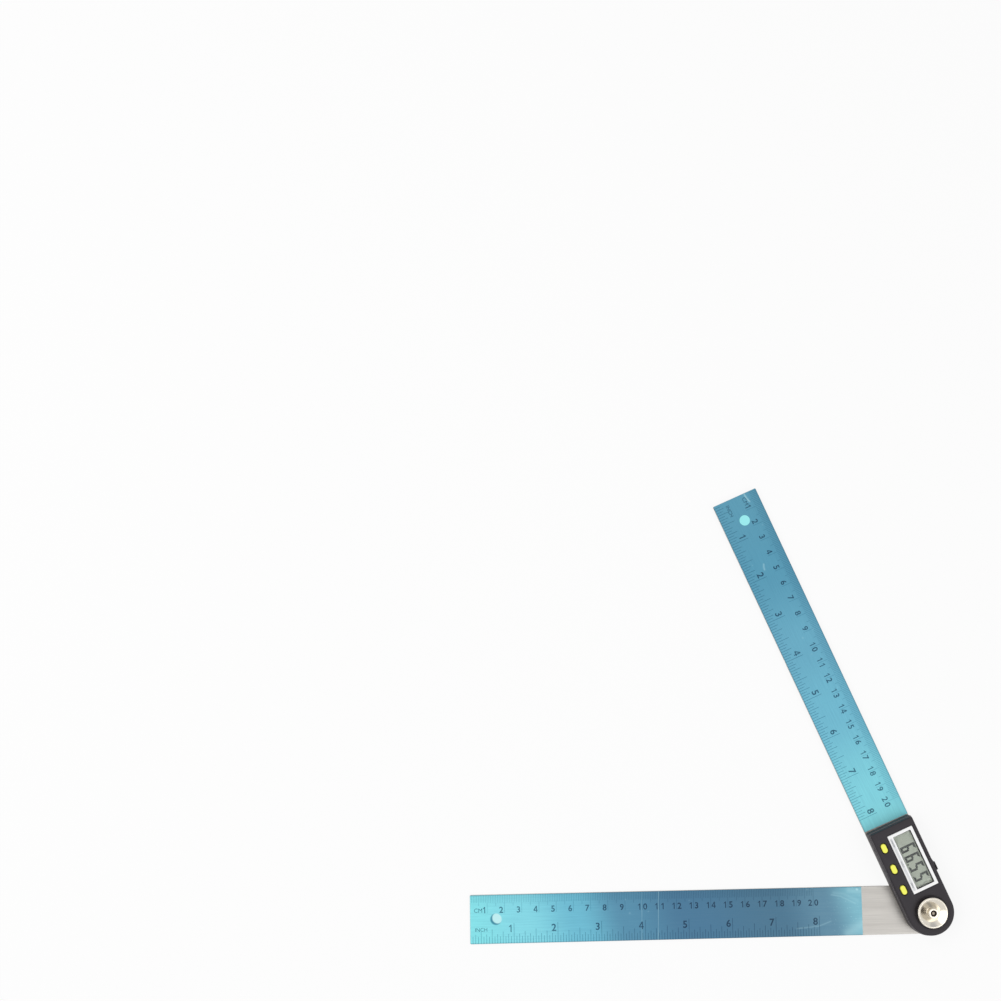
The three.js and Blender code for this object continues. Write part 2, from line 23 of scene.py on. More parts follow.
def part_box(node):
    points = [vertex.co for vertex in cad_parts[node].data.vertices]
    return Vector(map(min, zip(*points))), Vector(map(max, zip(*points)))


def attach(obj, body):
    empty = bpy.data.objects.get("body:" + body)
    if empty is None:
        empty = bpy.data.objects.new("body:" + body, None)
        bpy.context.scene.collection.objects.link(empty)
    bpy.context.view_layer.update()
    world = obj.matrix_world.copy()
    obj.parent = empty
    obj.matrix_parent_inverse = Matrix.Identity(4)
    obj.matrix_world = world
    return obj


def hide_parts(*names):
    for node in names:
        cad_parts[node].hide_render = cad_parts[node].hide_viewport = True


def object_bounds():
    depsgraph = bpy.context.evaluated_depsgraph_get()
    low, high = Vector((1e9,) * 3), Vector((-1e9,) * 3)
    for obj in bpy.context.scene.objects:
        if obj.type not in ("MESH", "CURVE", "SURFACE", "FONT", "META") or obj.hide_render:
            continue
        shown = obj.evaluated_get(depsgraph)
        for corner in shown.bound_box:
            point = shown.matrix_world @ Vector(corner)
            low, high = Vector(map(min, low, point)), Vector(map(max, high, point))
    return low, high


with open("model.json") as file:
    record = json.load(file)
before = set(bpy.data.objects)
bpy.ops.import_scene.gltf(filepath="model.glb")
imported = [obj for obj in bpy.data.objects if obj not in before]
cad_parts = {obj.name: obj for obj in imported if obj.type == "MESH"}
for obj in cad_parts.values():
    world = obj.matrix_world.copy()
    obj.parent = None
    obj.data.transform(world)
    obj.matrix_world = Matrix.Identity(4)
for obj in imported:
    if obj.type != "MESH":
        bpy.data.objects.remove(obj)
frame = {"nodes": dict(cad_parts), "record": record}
cad_low, cad_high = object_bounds()

log = logging.getLogger("angle_finder")

MM = 0.001
# Cosine below which the mitre at a sharp corner isn't drawn out any further.
LEAST_LEAN = 0.4
# Straight bit left at the end of a slot, so that no two points of its outline meet.
SLOT_FLAT = 0.001
# How far a cutting tool reaches past the face that it opens.
OVERCUT = 1.0
Point = tuple[float, float]
Loop = list[Point]
Level = tuple[float, list[Loop]]


# Shapes


def arc(x: float, y: float, radius: float, start: float, end: float, steps: int) -> Loop:
    """Points on a circular arc from one angle in degrees to another, both ends included."""
    turns = [math.radians(start + (end - start) * step / steps) for step in range(steps + 1)]
    return [(x + radius * math.cos(turn), y + radius * math.sin(turn)) for turn in turns]


def circle(x: float, y: float, radius: float, steps: int = 64) -> Loop:
    """Points of a closed circle, anticlockwise."""
    return arc(x, y, radius, 0, 360, steps)[:-1]


def quarter_round(radius: float, steps: int) -> list[Point]:
    """Steps up a quarter circle: the rise still to come and how far the wall has drawn in."""
    turns = [math.radians(90 * step / steps) for step in range(steps + 1)]
    return [(radius * (1 - math.sin(turn)), radius * (1 - math.cos(turn))) for turn in turns]


def arm_outline(half: float, reach: float, corner: float) -> Loop:
    """Outline of an arm or housing: round at the pivot, square at the far end.

    Args:
        half: Half of the width.
        reach: Distance from the pivot to the far end.
        corner: Radius of the two corners at the far end.

    Returns:
        The points, anticlockwise.
    """
    inner = half - corner
    return [
        *arc(0, 0, half, -90, 90, steps=72),
        *arc(-reach + corner, inner, corner, 90, 180, steps=8),
        *arc(-reach + corner, -inner, corner, 180, 270, steps=8),
    ]


def rounded_box(low: Point, high: Point, corner: float, steps: int = 6, grow: float = 0.0) -> Loop:
    """Outline of a rectangle with round corners.

    Args:
        low: Lowest corner.
        high: Highest corner.
        corner: Radius of the corners.
        steps: Chords in each corner.
        grow: How far each side moves out.

    Returns:
        The points, anticlockwise.
    """
    left, bottom = (side - grow for side in low)
    right, top = (side + grow for side in high)
    return [
        *arc(right - corner, bottom + corner, corner, -90, 0, steps),
        *arc(right - corner, top - corner, corner, 0, 90, steps),
        *arc(left + corner, top - corner, corner, 90, 180, steps),
        *arc(left + corner, bottom + corner, corner, 180, 270, steps),
    ]


def obround(x: float, y: float, length: float, width: float) -> Loop:
    """Outline of a slot with round ends, about a centre."""
    low, high = (x - length / 2, y - width / 2), (x + length / 2, y + width / 2)
    return rounded_box(low, high, width / 2 - SLOT_FLAT, steps=12)


def shrunk(loop: Loop, inset: float) -> Loop:
    """Moves every edge of a loop to its left.

    Args:
        loop: Closed outline, anticlockwise round material and clockwise round a hole.
        inset: Distance that the material's edge draws back.

    Returns:
        An outline with the same number of points.
    """
    made = []
    for index, (x, y) in enumerate(loop):
        before, after = loop[index - 1], loop[(index + 1) % len(loop)]
        into = Vector((x - before[0], y - before[1])).normalized()
        away = Vector((after[0] - x, after[1] - y)).normalized()
        normal = Vector((-into.y - away.y, into.x + away.x))
        normal.normalize()
        lean = max(LEAST_LEAN, normal.dot(Vector((-into.y, into.x))))
        made.append((x + normal.x * inset / lean, y + normal.y * inset / lean))
    return made


def stacked(levels: Sequence[Level]) -> Mesh:
    """Closed solid through outlines at rising heights, the first loop outside and the rest holes.

    Args:
        levels: Height and outlines of each level; every level has the same count of points.

    Returns:
        The mesh, in metres.
    """
    sheet = bmesh.new()
    rings = [
        [[sheet.verts.new((x * MM, y * MM, z * MM)) for x, y in loop] for loop in loops]
        for z, loops in levels
    ]
    for below, above in zip(rings, rings[1:]):
        for low, high in zip(below, above):
            for index, start in enumerate(low):
                following = (index + 1) % len(low)
                sheet.faces.new((start, low[following], high[following], high[index]))
    for ring, (_, loops), over in ((rings[-1], levels[-1], False), (rings[0], levels[0], True)):
        if len(ring) == 1:
            sheet.faces.new(reversed(ring[0]) if over else ring[0])
            continue
        flat = [vertex for part in ring for vertex in part]
        outlines = [[Vector((x, y, 0)) for x, y in loop] for loop in loops]
        for corners in tessellate_polygon(outlines):
            sheet.faces.new([flat[corner] for corner in corners])
    return closed_mesh(sheet)


def closed_mesh(sheet: bmesh.types.BMesh, one_solid: bool = True) -> Mesh:
    """Turns a finished bmesh into a mesh and frees it.

    Args:
        sheet: The bmesh.
        one_solid: Whether it is a single solid, whose faces are then turned outwards.

    Returns:
        The mesh.
    """
    if one_solid:
        bmesh.ops.recalc_face_normals(sheet, faces=sheet.faces)
        if sheet.calc_volume(signed=True) < 0:
            bmesh.ops.reverse_faces(sheet, faces=sheet.faces)
    mesh = bpy.data.meshes.new("made")
    sheet.to_mesh(mesh)
    sheet.free()
    return mesh


def plate(loops: Sequence[Loop], bottom: float, top: float, edge: float = 0.0) -> Mesh:
    """Plate with holes and slightly rounded edges.

    Args:
        loops: Outer outline anticlockwise, then any holes as anticlockwise outlines too.
        bottom: Height of the underside.
        top: Height of the upper side.
        edge: Radius of the edges, 0 for sharp ones.

    Returns:
        The mesh, in metres.
    """
    wound = [list(loops[0]), *(list(reversed(hole)) for hole in loops[1:])]
    if edge == 0:
        return stacked([(bottom, wound), (top, wound)])
    steps = quarter_round(edge, steps=3)
    rise = [(bottom, 2 * edge), *((bottom + up, inset) for inset, up in steps)]
    fall = [*((top - up, inset) for inset, up in reversed(steps)), (top, 2 * edge)]
    return stacked([(z, [shrunk(loop, inset) for loop in wound]) for z, inset in rise + fall])


def rounded_profile(corners: Sequence[tuple[float, float, float]], steps: int = 6) -> Loop:
    """Profile with its corners rounded.

    Args:
        corners: Radius, height and rounding of each corner.
        steps: Chords in each rounding.

    Returns:
        The points of the profile in order.
    """
    made: Loop = []
    for index, (x, z, rounding) in enumerate(corners):
        here = Vector((x, z))
        if rounding == 0:
            made.append((x, z))
            continue
        before = (Vector(corners[index - 1][:2]) - here).normalized()
        after = (Vector(corners[(index + 1) % len(corners)][:2]) - here).normalized()
        half = before.angle(after) / 2
        reach = rounding / math.tan(half)
        centre = here + (before + after).normalized() * rounding / math.sin(half)
        start, end = here + before * reach - centre, here + after * reach - centre
        sweep = start.angle_signed(end)
        for step in range(steps + 1):
            turn = -sweep * step / steps
            spoke = Matrix.Rotation(turn, 2) @ start
            made.append((centre.x + spoke.x, centre.y + spoke.y))
    return made


def turned(profile: Loop, facets: int = 128, x: float = 0.0, y: float = 0.0) -> Mesh:
    """Solid of revolution about a vertical axis.

    Args:
        profile: Closed profile as radius and height; points at radius 0 become poles.
        facets: Faces round the axis.
        x: Place of the axis along the arm.
        y: Place of the axis across the arm.

    Returns:
        The mesh, in metres.
    """
    sheet = bmesh.new()
    rings = []
    for radius, z in profile:
        if radius == 0:
            rings.append([sheet.verts.new((x * MM, y * MM, z * MM))] * facets)
            continue
        turns = [2 * math.pi * step / facets for step in range(facets)]
        rings.append([
            sheet.verts.new(
                ((x + radius * math.cos(turn)) * MM, (y + radius * math.sin(turn)) * MM, z * MM))
            for turn in turns
        ])
    for index, ring in enumerate(rings):
        other = rings[(index + 1) % len(rings)]
        for step in range(facets):
            after = (step + 1) % facets
            corners = list(dict.fromkeys((ring[step], ring[after], other[after], other[step])))
            if len(corners) > 2:
                sheet.faces.new(corners)
    return closed_mesh(sheet)


def rod(radius: float, low: float, high: float, facets: int, x: float = 0.0,
        y: float = 0.0) -> Mesh:
    """Upright round rod between two heights, with its axis at a place on the arm."""
    return turned([(0, low), (radius, low), (radius, high), (0, high)], facets, x, y)


def evaluated(holder: Object) -> Mesh:
    """Plain mesh of an object with its modifiers, text or curve; the object is removed.

    Args:
        holder: Object that isn't linked yet.

    Returns:
        A mesh that nothing else uses.
    """
    bpy.context.scene.collection.objects.link(holder)
    graph = bpy.context.evaluated_depsgraph_get()
    mesh = bpy.data.meshes.new_from_object(holder.evaluated_get(graph))
    bpy.data.objects.remove(holder)
    return mesh


class Cut(Enum):
    """What a tool solid does to the body that it meets."""

    AWAY = "DIFFERENCE"
    JOIN = "UNION"


def carved(body: Mesh, tools: Sequence[tuple[Cut, Mesh]]) -> Mesh:
    """Cuts tool solids out of a body, or joins them to it, in order.

    Args:
        body: The solid to work on.
        tools: What to do with each tool solid, and its mesh.

    Returns:
        The worked mesh.
    """
    holder = bpy.data.objects.new("body", body)
    others = []
    for kind, tool in tools:
        other = bpy.data.objects.new("tool", tool)
        bpy.context.scene.collection.objects.link(other)
        others.append(other)
        step = holder.modifiers.new("cut", "BOOLEAN")
        step.operation, step.solver, step.object = kind.value, "EXACT", other
    made = evaluated(holder)
    for other in others:
        bpy.data.objects.remove(other)
    return made


def joined(meshes: Sequence[Mesh]) -> Mesh:
    """Puts several closed meshes side by side into one.

    Args:
        meshes: The meshes, none of which touches another.

    Returns:
        The mesh that holds them all.
    """
    sheet = bmesh.new()
    for mesh in meshes:
        sheet.from_mesh(mesh)
    return closed_mesh(sheet, one_solid=False)


def lettering(words: str, height: float, x: float, y: float, depth: float,
              weight: float = 0.014) -> Mesh:
    """Flat letters or figures, centred on a point.

    Args:
        words: What to write.
        height: Height of the capitals.
        x: Centre, along the arm.
        y: Centre, across the arm.
        depth: Thickness of the ink.
        weight: How far the strokes swell, as a share of the letters' size.

    Returns:
        The closed mesh, standing on height 0.
    """
    half_depth = 0.01
    curve = bpy.data.curves.new("letters", "FONT")
    curve.body, curve.resolution_u, curve.extrude, curve.offset = words, 4, half_depth, weight
    mesh = evaluated(bpy.data.objects.new("letters", curve))
    xs, ys = zip(*((vertex.co.x, vertex.co.y) for vertex in mesh.vertices))
    scale = height / (max(ys) - min(ys))
    middle = Vector(((max(xs) + min(xs)) / 2, (max(ys) + min(ys)) / 2, -half_depth))
    size = Matrix.Diagonal((scale * MM, scale * MM, depth / (2 * half_depth) * MM, 1))
    mesh.transform(Matrix.Translation((x * MM, y * MM, 0)) @ size @ Matrix.Translation(-middle))
    sheet = bmesh.new()
    sheet.from_mesh(mesh)
    bmesh.ops.remove_doubles(sheet, verts=sheet.verts, dist=1e-7)
    return closed_mesh(sheet)


# Nodes


# Sockets of a Mix node set to colours: how much of the upper one, the two colours, the result.
SHARE, UNDER, OVER, MIXED = 0, 6, 7, 2


def add_node(tree: NodeTree, kind: str, inputs: dict | None = None, **settings: object) -> Node:
    """Adds a node with its settings, values and links.

    Args:
        tree: Node tree that gets the node.
        kind: Blender's type name of the node.
        inputs: Value, or output socket to link from, for each input by name or number.
        settings: Properties of the node.

    Returns:
        The new node.
    """
    made = tree.nodes.new(kind)
    for name, value in settings.items():
        setattr(made, name, value)
    for key, value in (inputs or {}).items():
        if isinstance(value, NodeSocket):
            tree.links.new(value, made.inputs[key])
        else:
            made.inputs[key].default_value = value
    return made


def linear(code: str) -> tuple[float, float, float, float]:
    """Turns an sRGB colour to a linear one.

    Args:
        code: Hex code such as #3a363c.

    Returns:
        Red, green, blue and full opacity.
    """
    shares = [int(code[start:start + 2], 16) / 255 for start in (1, 3, 5)]
    red, green, blue = (
        share / 12.92 if share <= 0.04045 else ((share + 0.055) / 1.055) ** 2.4 for share in shares
    )
    return red, green, blue, 1.0


def empty_tree(owner: Material | World) -> NodeTree:
    """Node tree of a material or world, with nothing in it yet.

    Args:
        owner: The material or world.

    Returns:
        Its tree.
    """
    owner.use_nodes = True
    owner.node_tree.nodes.clear()
    return owner.node_tree


def millimetres(tree: NodeTree, turn: float = 0.0, stretch: Sequence[float] = (1, 1, 1),
                centre: Sequence[float] = (0, 0, 0)) -> NodeSocket:
    """Place on the object in millimetres, turned to an arm's own axes.

    Args:
        tree: Material tree.
        turn: Angle of the arm in radians.
        stretch: Factor on each of the arm's axes.
        centre: Point of the arm that becomes the origin, in millimetres.

    Returns:
        The socket with the coordinates.
    """
    own = add_node(tree, "ShaderNodeMapping", {
        "Vector": add_node(tree, "ShaderNodeTexCoord").outputs["Object"],
        "Scale": (1 / MM, 1 / MM, 1 / MM),
        "Rotation": (0, 0, -turn),
        "Location": tuple(-part for part in centre),
    })
    return add_node(tree, "ShaderNodeMapping", {
        "Vector": own.outputs[0], "Scale": tuple(stretch)}).outputs[0]


def blotches(tree: NodeTree, vector: NodeSocket, size: float, low: float = 0.0, high: float = 1.0,
             detail: float = 2.0) -> NodeSocket:
    """Soft noise of a real size, spread between two values.

    Args:
        tree: Material tree.
        vector: Coordinates in millimetres.
        size: Width of one blotch in millimetres.
        low: Value of the darkest part.
        high: Value of the brightest part.
        detail: Octaves of finer noise.

    Returns:
        The socket with the value.
    """
    noise = add_node(tree, "ShaderNodeTexNoise", {
        "Vector": vector, "Scale": 1 / size, "Detail": detail, "Roughness": 0.55})
    return add_node(tree, "ShaderNodeMapRange", {
        "Value": noise.outputs["Fac"], "From Min": 0.3, "From Max": 0.7,
        "To Min": low, "To Max": high}).outputs[0]


# Finishes


@dataclass(frozen=True)
class Finish:
    """A surface finish; each kind dresses one Principled shader."""

    name: str

    def build(self) -> Material:
        """Makes the material.

        Returns:
            The node material.
        """
        material = bpy.data.materials.new(self.name)
        tree = empty_tree(material)
        shader = add_node(tree, "ShaderNodeBsdfPrincipled")
        self.dress(tree, shader)
        add_node(tree, "ShaderNodeOutputMaterial", {"Surface": shader.outputs[0]})
        return material

    def dress(self, tree: NodeTree, shader: Node) -> None:
        """Sets the shader's sockets; every kind of finish has its own.

        Args:
            tree: Material tree.
            shader: Principled shader.
        """
        raise NotImplementedError

    @staticmethod
    def fill(tree: NodeTree, shader: Node, **values: object) -> None:
        """Sets or links shader inputs, whose names have _ for a blank.

        Args:
            tree: Material tree.
            shader: Principled shader.
            values: Value or socket for each input.
        """
        for name, value in values.items():
            socket = shader.inputs[name.replace("_", " ")]
            if isinstance(value, NodeSocket):
                tree.links.new(value, socket)
            else:
                socket.default_value = value


@dataclass(frozen=True)
class BrushedSteel(Finish):
    """Stainless spring steel, cold rolled and belt brushed along the arm: a warm pale grey whose
    fine lengthwise scratches spread each reflection across the arm."""

    turn: float = 0.0
    pale: str = "#bcb9b4"
    dark: str = "#aaa7a3"
    rolled: str = "#908c88"

    def dress(self, tree: NodeTree, shader: Node) -> None:
        """Lays lengthwise scratches over faint rolling marks.

        Args:
            tree: Material tree.
            shader: Principled shader.
        """
        # Real scratches are about 0.05 mm apart; they are drawn 0.4 mm apart so that they show.
        grain = blotches(tree, millimetres(tree, self.turn, (0.02, 1, 1)), size=0.4, detail=4)
        streaks = blotches(tree, millimetres(tree, self.turn, (0.012, 1, 1)), size=2.4, high=0.3)
        metal = linear(self.dark)
        for share, shade in ((grain, self.pale), (streaks, self.rolled)):
            metal = add_node(tree, "ShaderNodeMix", {
                SHARE: share, UNDER: metal, OVER: linear(shade),
            }, data_type="RGBA").outputs[MIXED]
        rough = add_node(tree, "ShaderNodeMapRange", {
            "Value": grain, "To Min": 0.3, "To Max": 0.42})
        scratches = add_node(tree, "ShaderNodeBump", {"Height": grain, "Distance": 0.003 * MM})
        self.fill(tree, shader, Base_Color=metal, Roughness=rough.outputs[0], Metallic=1.0,
                  Normal=scratches.outputs[0])


@dataclass(frozen=True)
class FilmLook:
    """How the film's tint runs along one arm: distance from the free end and colour of each stop,
    with painted reflection in their pale and deep stretches, the slant of the bands, the painted
    shade at the centimetre edge, the look of the film over the hanging hole, painted pale for the
    light that shines up through it, with a painted crescent of shadow in it, fine folds across the
    arm (distance, lean, strength), whiter partly as painted highlight, and where its small
    blisters begin."""

    stops: tuple[tuple[float, str], ...]
    slant: float
    edge: str
    hole: str
    hole_shadow: Point
    hole_blur: float = 0.12
    folds: tuple[tuple[float, float, float], ...] = ()
    blisters_from: float = 300.0


@dataclass(frozen=True)
class BlueFilm(Finish):
    """Blue polyethylene protective film pulled over brushed steel: a glossy tint with the metal's
    sheen under it, paler where it lifts, partly for the air beneath and partly as painted
    highlight, and painted pale where it spans the hanging hole, for the light shining up
    through it."""

    turn: float
    look: FilmLook
    reach: float
    hole_at: float
    hole_radius: float
    grain: str = "#2f6f93"
    # Colour of lifted film, partly the air under it and partly painted highlight.
    air: str = "#b9e6ee"
    crescent: str = "#3f8fa6"
    lit_share: float = 0.96
    rim: str = "#3d6f84"
    shaded_side: Point = (6.0, 14.0)
    rim_band: Point = (13.1, 13.9)
    fold_edge: Point = (0.08, 0.3)
    fold_least: float = 0.45
    blister_pitch: float = 1.9
    blister_fade: float = 14.0

    def dress(self, tree: NodeTree, shader: Node) -> None:
        """Runs the tint along the arm and lifts it where the film is creased.

        Args:
            tree: Material tree.
            shader: Principled shader.
        """
        own = add_node(tree, "ShaderNodeSeparateXYZ", {0: millimetres(tree, self.turn)}).outputs
        # The brushing below is about 0.05 mm apart; it is drawn 0.5 mm apart so that it shows.
        grain = blotches(tree, millimetres(tree, self.turn, (0.03, 1, 1)), size=0.5, high=0.16,
                         detail=3)
        haze = self.haze(tree, own)
        # Over the hanging hole the film is painted pale for the light that shines up through it;
        # the offset lit disc leaves a painted crescent of shadow.
        hole = self.disc(tree, (-self.hole_at, 0.0), self.hole_radius)
        lit = self.disc(tree, (-self.hole_at + self.look.hole_shadow[0], self.look.hole_shadow[1]),
                        self.hole_radius * self.lit_share)
        over_hole = add_node(tree, "ShaderNodeMix", {
            SHARE: lit, UNDER: linear(self.crescent), OVER: linear(self.look.hole),
        }, data_type="RGBA")
        tint = self.tint(tree, own)
        for share, colour in ((grain, linear(self.grain)), (haze, linear(self.air)),
                              (hole, over_hole.outputs[MIXED])):
            tint = add_node(tree, "ShaderNodeMix", {
                SHARE: share, UNDER: tint, OVER: colour}, data_type="RGBA").outputs[MIXED]
        metal = add_node(tree, "ShaderNodeMapRange", {"Value": hole, "To Min": 0.15, "To Max": 0.0})
        rough = add_node(tree, "ShaderNodeMapRange", {"Value": haze, "To Min": 0.3, "To Max": 0.5})
        brushed = add_node(tree, "ShaderNodeBump", {"Height": grain, "Distance": 0.01 * MM})
        self.fill(tree, shader, Base_Color=tint, Metallic=metal.outputs[0],
                  Roughness=rough.outputs[0], Specular_IOR_Level=0.2, Coat_Weight=0.12,
                  Coat_Roughness=0.12, Normal=brushed.outputs[0])

    def tint(self, tree: NodeTree, own: Sequence[NodeSocket]) -> NodeSocket:
        """Colour of the smooth film: its blue with painted reflection from stop to stop, painted
        shade at the centimetre edge, and a darker band along both long edges.

        Args:
            tree: Material tree.
            own: Coordinates on the arm's own axes.

        Returns:
            The socket with the colour.
        """
        leaning = add_node(tree, "ShaderNodeMath", {
            0: own[1], 1: self.look.slant, 2: self.reach}, operation="MULTIPLY_ADD")
        along = add_node(tree, "ShaderNodeMath", {0: own[0], 1: leaning.outputs[0]})
        share = add_node(tree, "ShaderNodeMath", {0: along.outputs[0], 1: self.reach},
                         operation="DIVIDE")
        ramp = add_node(tree, "ShaderNodeValToRGB", {0: share.outputs[0]})
        ramp.color_ramp.interpolation = "EASE"
        while len(ramp.color_ramp.elements) < len(self.look.stops):
            ramp.color_ramp.elements.new(0.5)
        for element, (place_at, code) in zip(ramp.color_ramp.elements, self.look.stops):
            element.position, element.color = place_at / self.reach, linear(code)
        side = add_node(tree, "ShaderNodeMapRange", {
            "Value": own[1], "From Min": self.shaded_side[0], "From Max": self.shaded_side[1]})
        shaded = add_node(tree, "ShaderNodeMix", {
            SHARE: side.outputs[0], UNDER: ramp.outputs[0], OVER: linear(self.look.edge),
        }, data_type="RGBA", blend_type="MULTIPLY")
        across = add_node(tree, "ShaderNodeMath", {0: own[1]}, operation="ABSOLUTE")
        rim = add_node(tree, "ShaderNodeMapRange", {
            "Value": across.outputs[0], "From Min": self.rim_band[0],
            "From Max": self.rim_band[1], "To Max": 0.5})
        return add_node(tree, "ShaderNodeMix", {
            SHARE: rim.outputs[0], UNDER: shaded.outputs[MIXED], OVER: linear(self.rim),
        }, data_type="RGBA").outputs[MIXED]

    def haze(self, tree: NodeTree, own: Sequence[NodeSocket]) -> NodeSocket:
        """How white the film shows where it doesn't lie flat, partly for the air under it and
        partly as painted highlight.

        Args:
            tree: Material tree.
            own: Coordinates on the arm's own axes.

        Returns:
            The socket, 0 on smooth film.
        """
        haze = add_node(tree, "ShaderNodeAttribute", attribute_name="haze").outputs["Fac"]
        marks = [self.fold_line(tree, own, *fold) for fold in self.look.folds]
        for mark in (*marks, self.blisters(tree, own)):
            haze = add_node(tree, "ShaderNodeMath", {0: haze, 1: mark},
                            operation="MAXIMUM").outputs[0]
        return haze

    def fold_line(self, tree: NodeTree, own: Sequence[NodeSocket], distance: float, lean: float,
                  strength: float) -> NodeSocket:
        """Mask of a fine fold across the arm.

        Args:
            tree: Material tree.
            own: Coordinates on the arm's own axes.
            distance: Where the fold crosses the arm's middle, from the free end.
            lean: How far it leans along the arm per millimetre across.
            strength: How white it shows.

        Returns:
            The socket, up to the strength on the fold and 0 off it.
        """
        leaning = add_node(tree, "ShaderNodeMath", {
            0: own[1], 1: lean, 2: self.reach - distance}, operation="MULTIPLY_ADD")
        away = add_node(tree, "ShaderNodeMath", {0: own[0], 1: leaning.outputs[0]})
        away = add_node(tree, "ShaderNodeMath", {0: away.outputs[0]}, operation="ABSOLUTE")
        patchy = blotches(tree, millimetres(tree, self.turn), size=5.0,
                          low=self.fold_least * strength, high=strength)
        return add_node(tree, "ShaderNodeMapRange", {
            "Value": away.outputs[0], "From Min": self.fold_edge[0],
            "From Max": self.fold_edge[1], "To Min": patchy, "To Max": 0.0,
        }, interpolation_type="SMOOTHSTEP").outputs[0]

    def blisters(self, tree: NodeTree, own: Sequence[NodeSocket]) -> NodeSocket:
        """Mask of the small air blisters where the film was lifted.

        Args:
            tree: Material tree.
            own: Coordinates on the arm's own axes.

        Returns:
            The socket, bright on a blister and 0 elsewhere.
        """
        cells = add_node(tree, "ShaderNodeTexVoronoi", {
            "Vector": millimetres(tree, self.turn), "Scale": 1 / self.blister_pitch,
            "Randomness": 1.0})
        spot = add_node(tree, "ShaderNodeMapRange", {
            "Value": cells.outputs["Distance"], "From Min": 0.06, "From Max": 0.2,
            "To Min": 0.6, "To Max": 0.0})
        start = self.look.blisters_from - self.reach
        zone = add_node(tree, "ShaderNodeMapRange", {
            "Value": own[0], "From Min": start, "From Max": start + self.blister_fade})
        shown = blotches(tree, millimetres(tree, self.turn), size=4.0)
        for share in (zone.outputs[0], spot.outputs[0]):
            shown = add_node(tree, "ShaderNodeMath", {0: share, 1: shown},
                             operation="MULTIPLY").outputs[0]
        return shown

    def disc(self, tree: NodeTree, centre: Point, radius: float) -> NodeSocket:
        """Mask of a soft-edged disc.

        Args:
            tree: Material tree.
            centre: Middle of the disc on the arm.
            radius: Its radius.

        Returns:
            The socket, 1 inside and 0 outside.
        """
        blur = self.look.hole_blur
        flat = millimetres(tree, self.turn, (1, 1, 0), (centre[0], centre[1], 0))
        far = add_node(tree, "ShaderNodeVectorMath", {0: flat}, operation="LENGTH")
        return add_node(tree, "ShaderNodeMapRange", {
            "Value": far.outputs["Value"], "From Min": radius - blur, "From Max": radius + blur,
            "To Min": 1.0, "To Max": 0.0}, interpolation_type="SMOOTHSTEP").outputs[0]


@dataclass(frozen=True)
class UnderFilmInk(BlueFilm):
    """Etched and blackened lines seen through the blue film: the film's tint with its painted
    reflection and shade, darkened, and slightly uneven where the etch took less."""

    ink: str = "#5f7688"

    def dress(self, tree: NodeTree, shader: Node) -> None:
        """Darkens the film's tint in patches.

        Args:
            tree: Material tree.
            shader: Principled shader.
        """
        own = add_node(tree, "ShaderNodeSeparateXYZ", {0: millimetres(tree, self.turn)}).outputs
        patches = blotches(tree, millimetres(tree), size=2.5, low=0.8)
        ink = add_node(tree, "ShaderNodeMix", {
            SHARE: patches, UNDER: self.tint(tree, own), OVER: linear(self.ink),
        }, data_type="RGBA", blend_type="MULTIPLY")
        self.fill(tree, shader, Base_Color=ink.outputs[MIXED], Roughness=0.4,
                  Specular_IOR_Level=0.2)


@dataclass(frozen=True)
class Mottled(Finish):
    """A plain skin whose colour wanders between two shades in patches, over a faint relief."""

    shade: str
    mottle: str
    size: float
    roughness: float
    relief: float = 0.0
    most: float = 1.0
    detail: float = 2.0
    stretch: tuple[float, float, float] = (1.0, 1.0, 1.0)
    turn: float = 0.0

    def dress(self, tree: NodeTree, shader: Node) -> None:
        """Mottles the surface.

        Args:
            tree: Material tree.
            shader: Principled shader.
        """
        marks = blotches(tree, millimetres(tree, self.turn, self.stretch), self.size,
                         high=self.most, detail=self.detail)
        colour = add_node(tree, "ShaderNodeMix", {
            SHARE: marks, UNDER: linear(self.shade), OVER: linear(self.mottle),
        }, data_type="RGBA")
        self.fill(tree, shader, Roughness=self.roughness, Base_Color=colour.outputs[MIXED])
        if self.relief:
            skin = add_node(tree, "ShaderNodeBump", {
                "Height": marks, "Distance": self.relief * MM})
            self.fill(tree, shader, Normal=skin.outputs[0])


@dataclass(frozen=True)
class PatchyInk(Mottled):
    """Screen-printed letters and bands: a thin matt ink, slightly uneven where it took less."""

    size: float = 2.5
    roughness: float = 0.5


@dataclass(frozen=True)
class SegmentFilm(Mottled):
    """Switched liquid crystal segments: a soft olive black that lets a little of the reflector
    through in patches."""

    shade: str = "#12150f"
    mottle: str = "#20251d"
    size: float = 1.6
    roughness: float = 0.45


@dataclass(frozen=True)
class SilverPaint(Mottled):
    """Silver white lacquer on moulded ABS: nearly white from the front, with a pearl flake that
    greys it a little in places. Real flake is about 0.05 mm; it is drawn 0.3 mm wide to show."""

    shade: str = "#ffffff"
    mottle: str = "#fbfbfb"
    size: float = 0.3
    roughness: float = 0.3
    relief: float = 0.004
    most: float = 0.6
    detail: float = 1.0


@dataclass(frozen=True)
class InnerPlastic(Mottled):
    """Plain parts inside the housing, moulded, laminated or extruded: matt, with a fine mottle or
    with the stripes of a zebra strip."""

    shade: str = "#e9e6dc"
    mottle: str = "#d6d2c6"
    size: float = 0.8
    roughness: float = 0.5
    relief: float = 0.01


